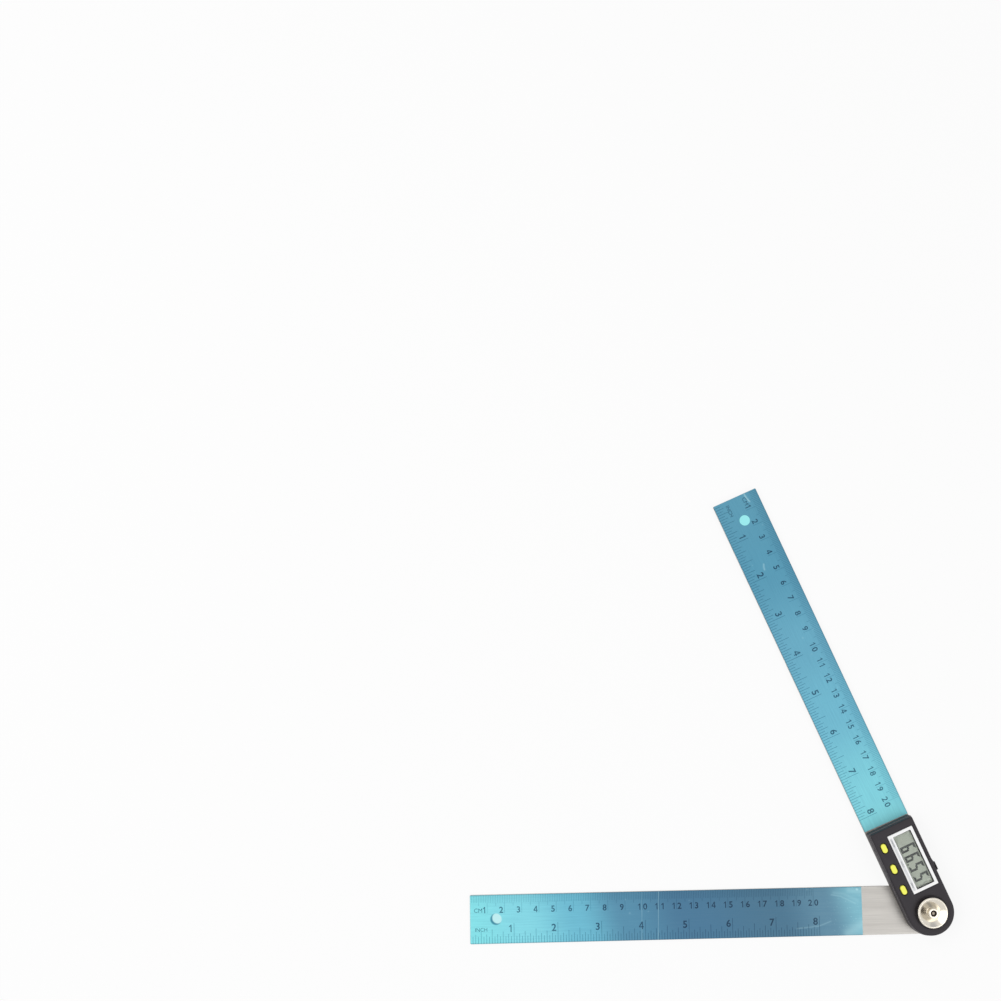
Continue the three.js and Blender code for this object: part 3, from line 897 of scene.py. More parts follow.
@dataclass(frozen=True)
class MouldedPlastic(Finish):
    """ABS moulded against a spark eroded tool: an even satin skin whose fine orange peel breaks
    up the highlights."""

    shade: str = "#262227"
    # Second colour in soft clouds: random wear on plain skins, and the painted highlight on the
    # ledge line.
    worn: str = "#2e292f"
    roughness: float = 0.46
    peel: float = 0.018
    sheen: float = 0.34

    def dress(self, tree: NodeTree, shader: Node) -> None:
        """Gives the skin its eroded texture.

        Args:
            tree: Material tree.
            shader: Principled shader.
        """
        # The eroded grain is about 0.06 mm wide; it is drawn 0.35 mm wide so that it shows.
        skin = blotches(tree, millimetres(tree), size=0.35, detail=3)
        cloud = blotches(tree, millimetres(tree), size=6.0, high=0.5)
        colour = add_node(tree, "ShaderNodeMix", {
            SHARE: cloud, UNDER: linear(self.shade), OVER: linear(self.worn),
        }, data_type="RGBA")
        rough = add_node(tree, "ShaderNodeMapRange", {
            "Value": cloud, "To Min": self.roughness, "To Max": self.roughness + 0.14})
        eroded = add_node(tree, "ShaderNodeBump", {
            "Height": skin, "Distance": self.peel * MM, "Strength": 0.6})
        self.fill(tree, shader, Base_Color=colour.outputs[MIXED], Roughness=rough.outputs[0],
                  Specular_IOR_Level=self.sheen, Normal=eroded.outputs[0])


@dataclass(frozen=True)
class DisplayGlass(Finish):
    """Reflective liquid crystal cell: grey green from its rear polariser, finely grained, under a
    polished glass front."""

    shade: str = "#c0c2b3"
    deep: str = "#b0b3a2"
    bright: str = "#c3c6b7"

    def dress(self, tree: NodeTree, shader: Node) -> None:
        """Grains the reflector behind the glass.

        Args:
            tree: Material tree.
            shader: Principled shader.
        """
        # The reflector's grain is about 0.05 mm; it is drawn at 0.4 mm so that it shows.
        grain = blotches(tree, millimetres(tree), size=0.4, high=0.5, detail=3)
        cloud = blotches(tree, millimetres(tree), size=12.0, high=0.6)
        colour = linear(self.shade)
        for share, shade in ((grain, self.deep), (cloud, self.bright)):
            colour = add_node(tree, "ShaderNodeMix", {
                SHARE: share, UNDER: colour, OVER: linear(shade),
            }, data_type="RGBA").outputs[MIXED]
        self.fill(tree, shader, Base_Color=colour, Roughness=0.4, Coat_Weight=0.5,
                  Coat_Roughness=0.04)


@dataclass(frozen=True)
class ClearAcrylic(Finish):
    """Cast acrylic pane, polished: clear, with a mirror skin at low angles."""

    def dress(self, tree: NodeTree, shader: Node) -> None:
        """Keeps a trace of handling haze on the polish.

        Args:
            tree: Material tree.
            shader: Principled shader.
        """
        haze = blotches(tree, millimetres(tree), size=5.0, low=0.015, high=0.05)
        self.fill(tree, shader, Base_Color=linear("#f6faf9"), Roughness=haze, IOR=1.49,
                  Transmission_Weight=1.0)


@dataclass(frozen=True)
class TurnedMetal(Finish):
    """Metal turned on a lathe or pressed in a die, bare or plated: fine rings about the pivot
    under a light bloom of handling."""

    shade: str = "#b4b0ab"
    groove: str = "#928e89"
    roughness: float = 0.28
    groove_depth: float = 0.006
    bloom: float = 0.12

    def dress(self, tree: NodeTree, shader: Node) -> None:
        """Cuts rings about the pivot and lays the bloom over them.

        Args:
            tree: Material tree.
            shader: Principled shader.
        """
        flat = millimetres(tree, stretch=(1, 1, 0))
        radius = add_node(tree, "ShaderNodeVectorMath", {0: flat}, operation="LENGTH")
        across = add_node(tree, "ShaderNodeCombineXYZ", {0: radius.outputs["Value"]})
        # Tool marks of about 0.1 mm are drawn 0.3 mm apart so that they show.
        rings = blotches(tree, across.outputs[0], size=0.3)
        handled = blotches(tree, millimetres(tree), size=3.0)
        worked = add_node(tree, "ShaderNodeMath", {0: rings, 1: handled}, operation="MULTIPLY")
        colour = add_node(tree, "ShaderNodeMix", {
            SHARE: worked.outputs[0], UNDER: linear(self.shade), OVER: linear(self.groove),
        }, data_type="RGBA")
        rough = add_node(tree, "ShaderNodeMapRange", {
            "Value": handled, "To Min": self.roughness, "To Max": self.roughness + self.bloom})
        cut = add_node(tree, "ShaderNodeBump", {
            "Height": rings, "Distance": self.groove_depth * MM})
        self.fill(tree, shader, Metallic=1.0, Base_Color=colour.outputs[MIXED],
                  Roughness=rough.outputs[0], Normal=cut.outputs[0])


# Pieces


def place(name: str, mesh: Mesh, finish: Material, body: str,
          stands_for: Sequence[str] = (), smooth: float = 32.0) -> Object:
    """Hands a finished piece to the frame.

    Args:
        name: Name of the piece.
        mesh: Its mesh, in the frame's place and in metres.
        finish: Its material.
        body: Body that it rides on.
        stands_for: CAD nodes that it replaces.
        smooth: Widest angle in degrees between faces that still shade as one.

    Returns:
        The piece.
    """
    mesh.name = name
    mesh.materials.clear()
    mesh.materials.append(finish)
    mesh.polygons.foreach_set("use_smooth", [True] * len(mesh.polygons))
    mesh.set_sharp_from_angle(angle=math.radians(smooth))
    piece = bpy.data.objects.new(name, mesh)
    bpy.context.scene.collection.objects.link(piece)
    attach(piece, body)
    if stands_for:
        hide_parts(*stands_for)
    log.info("%s rides on %s, %d faces", name, body, len(mesh.polygons))
    return piece


class Side(Enum):
    """The two arms."""

    LOWER = "lower"
    UPPER = "upper"

    @property
    def body(self) -> str:
        """Body that the arm belongs to."""
        return f"{self.value}_arm"

    @property
    def turn(self) -> float:
        """Angle of the arm about the pivot, read from its measuring edge.

        Returns:
            The angle in radians.
        """
        if self is Side.LOWER:
            return 0.0
        edge = next(mount for mount in frame["record"]["mounts"]
                    if mount["name"] == "upper_measuring_edge")
        return math.atan2(edge["axis"][0], -edge["axis"][1])

    def settle(self, mesh: Mesh, height: float = 0.0) -> Mesh:
        """Turns a mesh from the arm's own axes to the frame's, and lifts it."""
        mesh.transform(Matrix.Translation((0, 0, height * MM)) @ Matrix.Rotation(self.turn, 4, "Z"))
        return mesh


def heights(node: str) -> tuple[float, float]:
    """Lowest and highest point of a CAD node in millimetres."""
    low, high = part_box(node)
    return low.z / MM, high.z / MM


# Marks by Geometry Nodes


def geometry_tree(name: str, made: str, inputs: dict[str, str]) -> GeometryNodeTree:
    """Geometry Nodes tree with its named sockets and no node yet.

    Args:
        name: Name of the tree.
        made: Name of what comes out.
        inputs: Kind of each input socket by its name.

    Returns:
        The tree.
    """
    tree = bpy.data.node_groups.new(name, "GeometryNodeTree")
    tree.interface.new_socket(made, in_out="OUTPUT", socket_type="NodeSocketGeometry")
    for label, kind in inputs.items():
        tree.interface.new_socket(label, in_out="INPUT", socket_type=f"NodeSocket{kind}")
    return tree


def end_tree(tree: GeometryNodeTree, copies: Node, material: NodeSocket) -> None:
    """Ends a tree by making its copies real and giving them their material.

    Args:
        tree: The tree.
        copies: Node that sets out the copies.
        material: Socket with the material.
    """
    real = add_node(tree, "GeometryNodeRealizeInstances", {0: copies.outputs[0]})
    dressed = add_node(tree, "GeometryNodeSetMaterial", {
        "Geometry": real.outputs[0], "Material": material})
    add_node(tree, "NodeGroupOutput", {0: dressed.outputs[0]})


def mark_tree(name: str, longer: Sequence[int]) -> GeometryNodeTree:
    """Node tree that rules a row of marks, with longer ones at every so many.

    Args:
        name: Name of the tree.
        longer: Steps at which a longer mark stands, each a multiple of the one before.

    Returns:
        The tree.
    """
    sizes = ("Pitch", "Width", "Depth", "Length", *(f"Length at {step}" for step in longer))
    tree = geometry_tree(name, "Marks", {
        "Count": "Int", **dict.fromkeys(sizes, "Float"), "Ink": "Material"})
    given = add_node(tree, "NodeGroupInput").outputs
    step_along = add_node(tree, "ShaderNodeCombineXYZ", {"X": given["Pitch"]}).outputs[0]
    row = add_node(tree, "GeometryNodeMeshLine", {
        "Count": given["Count"], "Start Location": step_along, "Offset": step_along})
    number = add_node(tree, "ShaderNodeMath", {
        0: add_node(tree, "GeometryNodeInputIndex").outputs[0], 1: 1.0})
    length = given["Length"]
    for step in longer:
        left = add_node(tree, "ShaderNodeMath", {0: number.outputs[0], 1: float(step)},
                        operation="FLOORED_MODULO")
        hit = add_node(tree, "ShaderNodeMath", {0: left.outputs[0], 1: 0.5}, operation="LESS_THAN")
        length = add_node(tree, "GeometryNodeSwitch", {
            "Switch": hit.outputs[0], "False": length, "True": given[f"Length at {step}"],
        }, input_type="FLOAT").outputs[0]
    bar = add_node(tree, "GeometryNodeMeshCube", {"Size": (1, 1, 1)})
    bar = add_node(tree, "GeometryNodeTransform", {
        "Geometry": bar.outputs["Mesh"], "Translation": (0, 0.5, 0.5)})
    size = add_node(tree, "ShaderNodeCombineXYZ", {
        "X": given["Width"], "Y": length, "Z": given["Depth"]})
    bars = add_node(tree, "GeometryNodeInstanceOnPoints", {
        "Points": row.outputs["Mesh"], "Instance": bar.outputs[0], "Scale": size.outputs[0]})
    end_tree(tree, bars, given["Ink"])
    return tree


def screw_tree() -> GeometryNodeTree:
    """Node tree that sets one screw at the four corners of a rectangle.

    Returns:
        The tree.
    """
    tree = geometry_tree("housing_screws", "Screws", {
        "Screw": "Object", "Along": "Float", "Across": "Float", "Steel": "Material"})
    given = add_node(tree, "NodeGroupInput").outputs
    corners = add_node(tree, "GeometryNodeMeshGrid", {
        "Size X": given["Along"], "Size Y": given["Across"], "Vertices X": 2, "Vertices Y": 2})
    screw = add_node(tree, "GeometryNodeObjectInfo", {"Object": given["Screw"]})
    turns = add_node(tree, "FunctionNodeRandomValue", {
        "Min": (0, 0, 0), "Max": (0, 0, 6.28), "Seed": 7}, data_type="FLOAT_VECTOR")
    screws = add_node(tree, "GeometryNodeInstanceOnPoints", {
        "Points": corners.outputs["Mesh"], "Instance": screw.outputs["Geometry"],
        "Rotation": turns.outputs[0]})
    end_tree(tree, screws, given["Steel"])
    return tree


def grown(tree: GeometryNodeTree, **inputs: object) -> Mesh:
    """Plain mesh that a Geometry Nodes tree makes.

    Args:
        tree: The tree.
        inputs: Value of each named input, with _ for a blank.

    Returns:
        The mesh, with no modifier left on anything.
    """
    holder = bpy.data.objects.new(tree.name, bpy.data.meshes.new(tree.name))
    step = holder.modifiers.new("grow", "NODES")
    step.node_group = tree
    for item in tree.interface.items_tree:
        value = inputs.get(item.name.replace(" ", "_"))
        if item.in_out == "INPUT" and value is not None:
            step[item.identifier] = value
    return evaluated(holder)


# Sub-assemblies


@dataclass
class Crease:
    """A fold in the film, lifted in the mesh and whiter partly as painted highlight: the line it
    follows on the arm, its width and how white it shows.
    """

    line: tuple[Point, ...]
    width: float
    strength: float

    def near(self, x: float, y: float) -> float:
        """How strongly the fold shows at a point.

        Args:
            x: Distance of the point from the free end.
            y: Its place across the arm.

        Returns:
            From 0 to the fold's strength.
        """
        best = 0.0
        for (ax, ay), (bx, by) in zip(self.line, self.line[1:]):
            length = (bx - ax) ** 2 + (by - ay) ** 2
            share = min(1.0, max(0.0, ((x - ax) * (bx - ax) + (y - ay) * (by - ay)) / length))
            far = math.hypot(x - ax - share * (bx - ax), y - ay - share * (by - ay))
            best = max(best, math.exp(-((far / self.width) ** 2)))
        return best * self.strength


# The plain letters have no flag on the one, and the four's eye closes when they swell, so both
# are drawn here, as loops in shares of the height.
DRAWN_FIGURES: dict[str, list[Loop]] = {
    "1": [[(0.06, -0.5), (0.2, -0.5), (0.2, 0.5), (0.09, 0.5), (-0.16, 0.27), (-0.16, 0.14),
           (0.06, 0.29)]],
    "4": [[(0.06, -0.5), (0.2, -0.5), (0.2, -0.27), (0.32, -0.27), (0.32, -0.13), (0.2, -0.13),
           (0.2, 0.5), (0.04, 0.5), (-0.34, -0.12), (-0.34, -0.27), (0.06, -0.27)],
          [(-0.18, -0.13), (0.06, -0.13), (0.06, 0.27)]],
}


def drawn_figure(figure: str, height: float, x: float, y: float, depth: float) -> Mesh:
    """One of the drawn figures, centred on a point.

    Args:
        figure: Which one.
        height: Its height.
        x: Centre, along the arm.
        y: Centre, across the arm.
        depth: Thickness of the ink.

    Returns:
        The mesh, standing on height 0.
    """
    loops = [[(x + height * across, y + height * up) for across, up in loop]
             for loop in DRAWN_FIGURES[figure]]
    return plate(loops, 0.0, depth)


@dataclass
class Scale:
    """One row of graduations: its marks and its figures, ruled from the free end."""

    label: str
    edge: int
    pitch: float
    count: int
    length: float
    longer: tuple[tuple[int, float], ...]
    unit: str
    unit_height: float
    unit_at: Point
    line: float
    height: float
    step: float
    last: int
    shifts: tuple[Point, ...]
    ink: str
    weight: float = 0.02

    def figures(self, reach: float, half: float, depth: float) -> list[Mesh]:
        """Unit and figures.

        Args:
            reach: Distance from the pivot to the free end.
            half: Half of the blade's width.
            depth: Thickness of the ink.

        Returns:
            One mesh for each, standing on height 0.
        """
        along, across = self.unit_at
        marks = [lettering(self.unit, self.unit_height, along - reach, self.edge * (half - across),
                           depth, weight=0.0)]
        for number in range(1, self.last + 1):
            figures = str(number)
            places = self.shifts[len(figures) - 1]
            for figure, shift in zip(figures, places):
                spot = (self.height, self.step * number - reach + shift,
                        self.edge * (half - self.line), depth)
                marks.append(drawn_figure(figure, *spot) if figure in DRAWN_FIGURES else
                             lettering(figure, *spot, self.weight))
        return marks

    def marks(self, reach: float, half: float, width: float, depth: float, ink: Material) -> Mesh:
        """Row of marks, ruled by Geometry Nodes.

        Args:
            reach: Distance from the pivot to the free end.
            half: Distance from the arm's middle to the marks' feet.
            width: Width of a mark.
            depth: Thickness of the ink.
            ink: Material of the marks.

        Returns:
            The mesh on the arm's own axes, standing on height 0.
        """
        tree = mark_tree(f"{self.label}_marks", [step for step, _ in self.longer])
        lengths = {f"Length_at_{step}": length * MM for step, length in self.longer}
        row = grown(tree, Count=self.count, Pitch=self.pitch * MM, Length=self.length * MM,
                    Width=width * MM, Depth=depth * MM, Ink=ink, **lengths)
        if self.edge > 0:
            row.transform(Matrix.Translation((0, 0, depth * MM)) @ Matrix.Rotation(math.pi, 4, "X"))
        row.transform(Matrix.Translation((-reach * MM, self.edge * half * MM, 0)))
        return row


METRIC = Scale(
    label="millimetre", edge=1, pitch=1.0, count=200, length=4.4, longer=((5, 6.2), (10, 10.4)),
    unit="CM", unit_height=2.4, unit_at=(4.7, 8.9), line=8.7, height=3.6, step=10.0, last=20,
    shifts=((-1.9,), (-1.85, 1.7)),
    ink="#c2d0d8")
INCH = Scale(
    label="sixteenth", edge=-1, pitch=25.4 / 16, count=128, length=4.0,
    longer=((2, 5.3), (4, 6.7), (8, 8.0), (16, 11.4)), unit="INCH", unit_height=2.1,
    unit_at=(6.4, 8.1), line=8.6, height=4.2, step=25.4, last=8, shifts=((-2.3,),),
    ink="#90a8b6")


@dataclass
class Ruler:
    """One arm: the steel blade, its film and its two scales."""

    side: Side
    film_start: float
    film_look: FilmLook
    creases: tuple[Crease, ...]
    cut_slant: float = 0.0
    bubbles: tuple[float, float, int] = (4.0, 200.0, 10)
    bubble_seed: int = 11
    width: float = 28.0
    reach: float = 266.0
    corner: float = 0.6
    edge: float = 0.12
    hole: float = 6.5
    hole_inset: float = 15.0
    bare_edge: float = 0.1
    cell: float = 0.4
    lift: float = 0.08
    edge_fade: float = 0.5
    bubble_size: Point = (0.3, 0.5)
    bubble_strength: Point = (0.1, 0.3)
    bubble_reach: float = 3.0
    dip: float = 0.06
    mark_width: float = 0.25
    mark_depth: float = 0.02
    figure_ink: str = "#5f7688"

    @property
    def half(self) -> float:
        """Half of the blade's width."""
        return self.width / 2

    def blade(self, pivot_hole: float, tools: Sequence[Mesh]) -> Mesh:
        """Steel strip with its holes.

        Args:
            pivot_hole: Radius of the hole at the pivot.
            tools: Solids to cut out of it.

        Returns:
            The mesh in the frame's place.
        """
        bottom, top = heights(f"{self.side.value}_ruler")
        loops = [
            arm_outline(self.half, self.reach, self.corner),
            circle(-(self.reach - self.hole_inset), 0, self.hole / 2, steps=48),
            circle(0, 0, pivot_hole),
        ]
        body = plate(loops, bottom, top, self.edge)
        cut = carved(body, [(Cut.AWAY, tool) for tool in tools]) if tools else body
        return self.side.settle(cut)

    def bubble_spots(self, half: float) -> list[tuple[float, float, float, float]]:
        """Scatters the small bubbles under the film.

        Args:
            half: Half of the film's width.

        Returns:
            Distance from the pivot, place across the arm, size and strength of each.
        """
        seeds = random.Random(self.bubble_seed)
        first, last, count = self.bubbles
        return [(self.reach - seeds.uniform(first, last), seeds.uniform(-half, half),
                 seeds.uniform(*self.bubble_size), seeds.uniform(*self.bubble_strength))
                for _ in range(count)]

    def film(self) -> Mesh:
        """Thin sheet with its folds and bubbles in the mesh; it spans the hanging hole.

        Returns:
            The mesh in the frame's place, with the folds as an attribute named haze.
        """
        bottom, top = heights(f"{self.side.value}_film")
        end, half = self.reach - self.bare_edge, self.half - self.bare_edge
        columns = round((end - self.film_start) / self.cell)
        rows = round(2 * half / self.cell)
        spots = self.bubble_spots(half)
        limit, fade = self.bubble_reach ** 2, self.edge_fade
        sheet = bmesh.new()
        haze = sheet.verts.layers.float.new("haze")
        grid = []
        for column in range(columns + 1):
            strip = []
            for row in range(rows + 1):
                across = -half + 2 * half * row / rows
                start = self.film_start + self.cut_slant * (1 - row / rows)
                x, y = self.inside((end - start) * column / columns - end, across)
                fold = max((crease.near(self.reach + x, y) for crease in self.creases), default=0.0)
                for spot_along, spot_across, size, strength in spots:
                    far = ((x + spot_along) ** 2 + (y - spot_across) ** 2) / size ** 2
                    fold = max(fold, strength * math.exp(-far)) if far < limit else fold
                inner = min(1.0, (half - abs(y)) / fade, (end + x) / fade, (-x - start) / fade)
                rise = top + self.lift * fold * max(0.0, inner) - self.sag(x, y)
                vertex = sheet.verts.new((x * MM, y * MM, rise * MM))
                vertex[haze] = fold
                strip.append(vertex)
            grid.append(strip)
        for before, after in zip(grid, grid[1:]):
            for row in range(rows):
                sheet.faces.new((before[row], after[row], after[row + 1], before[row + 1]))
        rim = [
            *(strip[0] for strip in grid),
            *grid[-1][1:],
            *(strip[-1] for strip in reversed(grid[:-1])),
            *reversed(grid[0][1:-1]),
        ]
        under = [sheet.verts.new((v.co.x, v.co.y, bottom * MM)) for v in rim]
        for index, vertex in enumerate(rim):
            after = (index + 1) % len(rim)
            sheet.faces.new((vertex, under[index], under[after], rim[after]))
        sheet.faces.new(under)
        return self.side.settle(closed_mesh(sheet))

    def inside(self, x: float, y: float) -> Point:
        """Draws a point of the film in to the blade's round corners.

        Args:
            x: Place along the arm.
            y: Place across the arm.

        Returns:
            The place on the film, unchanged away from the corners.
        """
        corner = self.corner
        centre = (-(self.reach - corner), math.copysign(self.half - corner, y))
        if x > centre[0] or abs(y) < abs(centre[1]):
            return x, y
        out = Vector((x - centre[0], y - centre[1]))
        limit = corner - self.bare_edge
        if out.length > limit:
            out *= limit / out.length
        return centre[0] + out.x, centre[1] + out.y

    def sag(self, x: float, y: float) -> float:
        """How far the film dips into the hanging hole at a place on the arm."""
        far = math.hypot(x + self.reach - self.hole_inset, y) / (self.hole / 2)
        return self.dip * (1 - far ** 2) if far < 1 else 0.0

    def build(self, steel: Material, pivot_hole: float, tools: Sequence[Mesh]) -> None:
        """Makes the arm's pieces.

        Args:
            steel: Material of the blade.
            pivot_hole: Radius of the hole at the pivot.
            tools: Solids to cut out of the blade.
        """
        name, body = self.side.value, self.side.body
        sheet = (self.side.turn, self.film_look, self.reach, self.reach - self.hole_inset,
                 self.hole / 2)
        film = BlueFilm(f"{name}_blue_film", *sheet).build()
        _, top = heights(f"{name}_film")
        place(f"{name}_blade", self.blade(pivot_hole, tools), steel, body,
              [f"{name}_ruler"])
        place(f"{name}_film_sheet", self.film(), film, body, [f"{name}_film"])
        figures = []
        for scale in (METRIC, INCH):
            ink = UnderFilmInk(f"{name}_{scale.label}_ink", *sheet, ink=scale.ink).build()
            marks = scale.marks(self.reach, self.half - 2 * self.bare_edge, self.mark_width,
                                self.mark_depth, ink)
            place(f"{name}_{scale.label}_marks", self.side.settle(marks, top), ink, body)
            figures += scale.figures(self.reach, self.half, self.mark_depth)
        ink = UnderFilmInk(f"{name}_figure_ink", *sheet, ink=self.figure_ink).build()
        place(f"{name}_scale_numbers", self.side.settle(joined(figures), top), ink, body)


@dataclass(frozen=True)
class PivotHoles:
    """Holes of the two blades at the pivot, and the counterbore for the spindle's flush head."""

    lower: float = 4.3
    upper: float = 5.4
    head: float = 6.3
    head_depth: float = 0.7

    def counterbore(self) -> Mesh:
        """Tool that opens the lower blade's underside for the spindle's head."""
        return rod(self.head, -OVERCUT, self.head_depth, facets=96)


@dataclass
class Screws:
    """The four countersunk screws that hold the housing to the upper arm."""

    head: float = 3.8
    shank: float = 2.0
    bottom: float = 1.8
    top: float = 7.8
    flat: float = 0.15
    cone: float = 0.9
    tip: float = 0.4
    near: float = 11.2
    far: float = 50.6
    across: float = 20.2
    recess: float = 2.1
    recess_width: float = 0.52
    recess_lip: float = 0.1
    recess_depth: float = 0.75
    recess_taper: float = 0.45
    rim_round: float = 0.08
    play: float = 0.25
    blade: Point = (1.5, 3.2)

    def countersinks(self) -> list[Mesh]:
        """Tools that cut the screw holes out of the blade.

        Returns:
            One tool for each screw.
        """
        low, high = self.blade
        head, shank = self.head / 2 + self.play, self.shank / 2 + self.play
        # The cut is straight for a third of the head's flat edge; its play keeps the cone clear.
        seat = self.bottom + self.flat / 3
        profile = [(0, low), (head, low), (head, seat), (shank, seat + self.cone), (shank, high),
                   (0, high)]
        return [turned(profile, facets=32, x=-along, y=side * self.across / 2)
                for along in (self.near, self.far) for side in (-1, 1)]

    def one(self) -> Mesh:
        """One screw with its cross recess, its axis on the origin.

        Returns:
            The mesh.
        """
        head, shank = self.head / 2, self.shank / 2
        profile = rounded_profile([
            (0, self.bottom, 0), (head, self.bottom, self.rim_round),
            (head, self.bottom + self.flat, 0), (shank, self.bottom + self.cone, 0),
            (shank, self.top - self.tip, 0), (shank - self.tip, self.top, 0),
            (0, self.top, 0)], steps=3)
        arm, slim = self.recess / 2, self.recess_width / 2
        cross = [(arm, -slim), (arm, slim), (slim, slim), (slim, arm), (-slim, arm),
                 (-slim, slim), (-arm, slim), (-arm, -slim), (-slim, -slim), (-slim, -arm),
                 (slim, -arm), (slim, -slim)]
        point = [(x * self.recess_taper, y * self.recess_taper) for x, y in cross]
        tool = stacked([(self.bottom - OVERCUT, [cross]), (self.bottom + self.recess_lip, [cross]),
                        (self.bottom + self.recess_depth, [point])])
        return carved(turned(profile, facets=40), [(Cut.AWAY, tool)])

    def build(self, steel: Material) -> None:
        """Sets the four screws by Geometry Nodes.

        Args:
            steel: Material of the screws.
        """
        source = bpy.data.objects.new("screw_source", self.one())
        made = grown(screw_tree(), Screw=source, Along=(self.far - self.near) * MM,
                     Across=self.across * MM, Steel=steel)
        bpy.data.objects.remove(source)
        made.transform(Matrix.Translation((-(self.far + self.near) / 2 * MM, 0, 0)))
        place("housing_screws", Side.UPPER.settle(made), steel, Side.UPPER.body,
              [f"housing_screw_{number}" for number in range(1, 5)])


@dataclass
class Housing:
    """Moulded cover with its knob well, display seat, button holes and battery slot."""

    half: float = 14.0
    reach: float = 54.5
    corner: float = 1.2
    least_corner: float = 0.25
    corner_fade: float = 0.6
    bottom: float = 2.9
    top: float = 12.0
    foot: float = 0.12
    ledge: float = 8.3
    below_ledge: float = 0.02
    above_ledge: float = 0.45
    seam: float = 0.05
    draft: float = 0.5
    edge: float = 0.9
    roof_under: float = 10.4
    cavity_half: float = 12.0
    cavity_reach: float = 52.5
    root: float = 0.3
    well: float = 9.5
    well_floor: float = 11.2
    collar: Point = (6.5, 8.9)
    key: Point = (3.3, 8.0)
    boss: Point = (2.1, 3.6)
    pilot: tuple[float, float, float] = (1.3, 3.0, 8.1)
    screws_along: Point = (11.2, 50.6)
    screws_across: float = 10.1
    seat_low: Point = (-49.6, -5.0)
    seat_high: Point = (-12.9, 11.35)
    seat_corner: float = 0.5
    seat_floor: float = 11.1
    pane_low: Point = (-48.3, -2.7)
    pane_high: Point = (-14.6, 9.45)
    slot_low: Point = (-37.3, 11.9)
    slot_high: Point = (-14.7, 16.0)
    slot_heights: Point = (3.5, 8.1)
    buttons: tuple[float, ...] = (-18.0, -31.0, -44.0)
    button_across: float = -9.1
    button_hole: Point = (6.4, 4.0)
    button_floor: float = 9.4
    lip: float = 0.22

    def outline(self, inset: float) -> list[Loop]:
        """Outline of the cover drawn in by an inset, as the only loop of a level."""
        corner = max(self.least_corner, self.corner - inset * self.corner_fade)
        return [arm_outline(self.half - inset, self.reach - inset, corner)]

    def shell(self) -> Mesh:
        """Cover without its openings, with the parting ledge round its wall.

        Returns:
            The mesh.
        """
        levels = [
            (self.bottom, self.outline(self.foot)),
            (self.bottom + self.foot, self.outline(0.0)),
            (self.ledge - self.foot, self.outline(self.below_ledge)),
            (self.ledge, self.outline(self.below_ledge + self.foot)),
            (self.ledge, self.outline(self.above_ledge)),
        ]
        levels += [(self.top - drop, self.outline(self.draft + inset))
                   for drop, inset in quarter_round(self.edge, steps=9)]
        levels.append((self.top, self.outline(self.draft + self.edge + self.foot)))
        return stacked(levels)

    def post(self, size: Point, along: float = 0.0, across: float = 0.0) -> Mesh:
        """Round post rooted in the roof, from its radius and the height of its foot."""
        return rod(*size, self.roof_under + self.root, facets=32, x=along, y=across)

    def flared(self, loop: Callable[[float], Loop], floor: float) -> Mesh:
        """Tool with a rolled lip where it leaves the top face.

        Args:
            loop: Outline of the opening, grown by a distance.
            floor: Height that the opening reaches down to.

        Returns:
            The tool's mesh.
        """
        lips = [(self.top - drop, grow) for drop, grow in quarter_round(self.lip, steps=4)]
        rise = [(floor, 0.0), *lips, (self.top + OVERCUT, self.lip)]
        return stacked([(z, [loop(grow)]) for z, grow in rise])

    def build(self, plastic: Material, worn: Material) -> None:
        """Makes the cover and the pale line on its ledge, a painted highlight.

        Args:
            plastic: Material of the cover.
            worn: Material of the pale line on the ledge, a painted highlight.
        """
        above = self.top + OVERCUT
        cavity = [arm_outline(self.cavity_half, self.cavity_reach, self.corner)]
        inside = stacked([(z, cavity) for z in (self.bottom - OVERCUT, self.roof_under)])
        tools = [(Cut.AWAY, inside), (Cut.JOIN, self.post(self.collar))]
        for along in self.screws_along:
            for across in (-self.screws_across, self.screws_across):
                tools += [(Cut.JOIN, self.post(self.boss, -along, across)),
                          (Cut.AWAY, rod(*self.pilot, facets=24, x=-along, y=across))]
        pane = rounded_box(self.pane_low, self.pane_high, corner=0.3)
        slot = rounded_box(self.slot_low, self.slot_high, corner=0.25)
        tools += [
            (Cut.AWAY, self.flared(lambda grow: circle(0, 0, self.well + grow, steps=128),
                                   self.well_floor)),
            (Cut.AWAY, rod(*self.key, above, facets=64)),
            (Cut.AWAY, self.flared(
                lambda grow: rounded_box(self.seat_low, self.seat_high, self.seat_corner + grow,
                                         grow=grow),
                self.seat_floor)),
            (Cut.AWAY, stacked([(z, [pane]) for z in (self.roof_under - OVERCUT, above)])),
            (Cut.AWAY, stacked([(z, [slot]) for z in self.slot_heights])),
        ]
        length, width = self.button_hole
        for along in self.buttons:
            tools.append((Cut.AWAY, self.flared(
                lambda grow, along=along: obround(
                    along, self.button_across, length + 2 * grow, width + 2 * grow),
                self.button_floor)))
        # The pale line on the ledge is a painted highlight: a thin sheet where the ledge's edge
        # catches the light.
        seam = plate([*self.outline(self.below_ledge + self.foot), *self.outline(self.above_ledge)],
                     self.ledge, self.ledge + self.seam)
        place("housing_seam", Side.UPPER.settle(seam), worn, Side.UPPER.body)
        made = Side.UPPER.settle(carved(self.shell(), tools))
        place("housing_shell", made, plastic, Side.UPPER.body,
              ["housing_cover"])


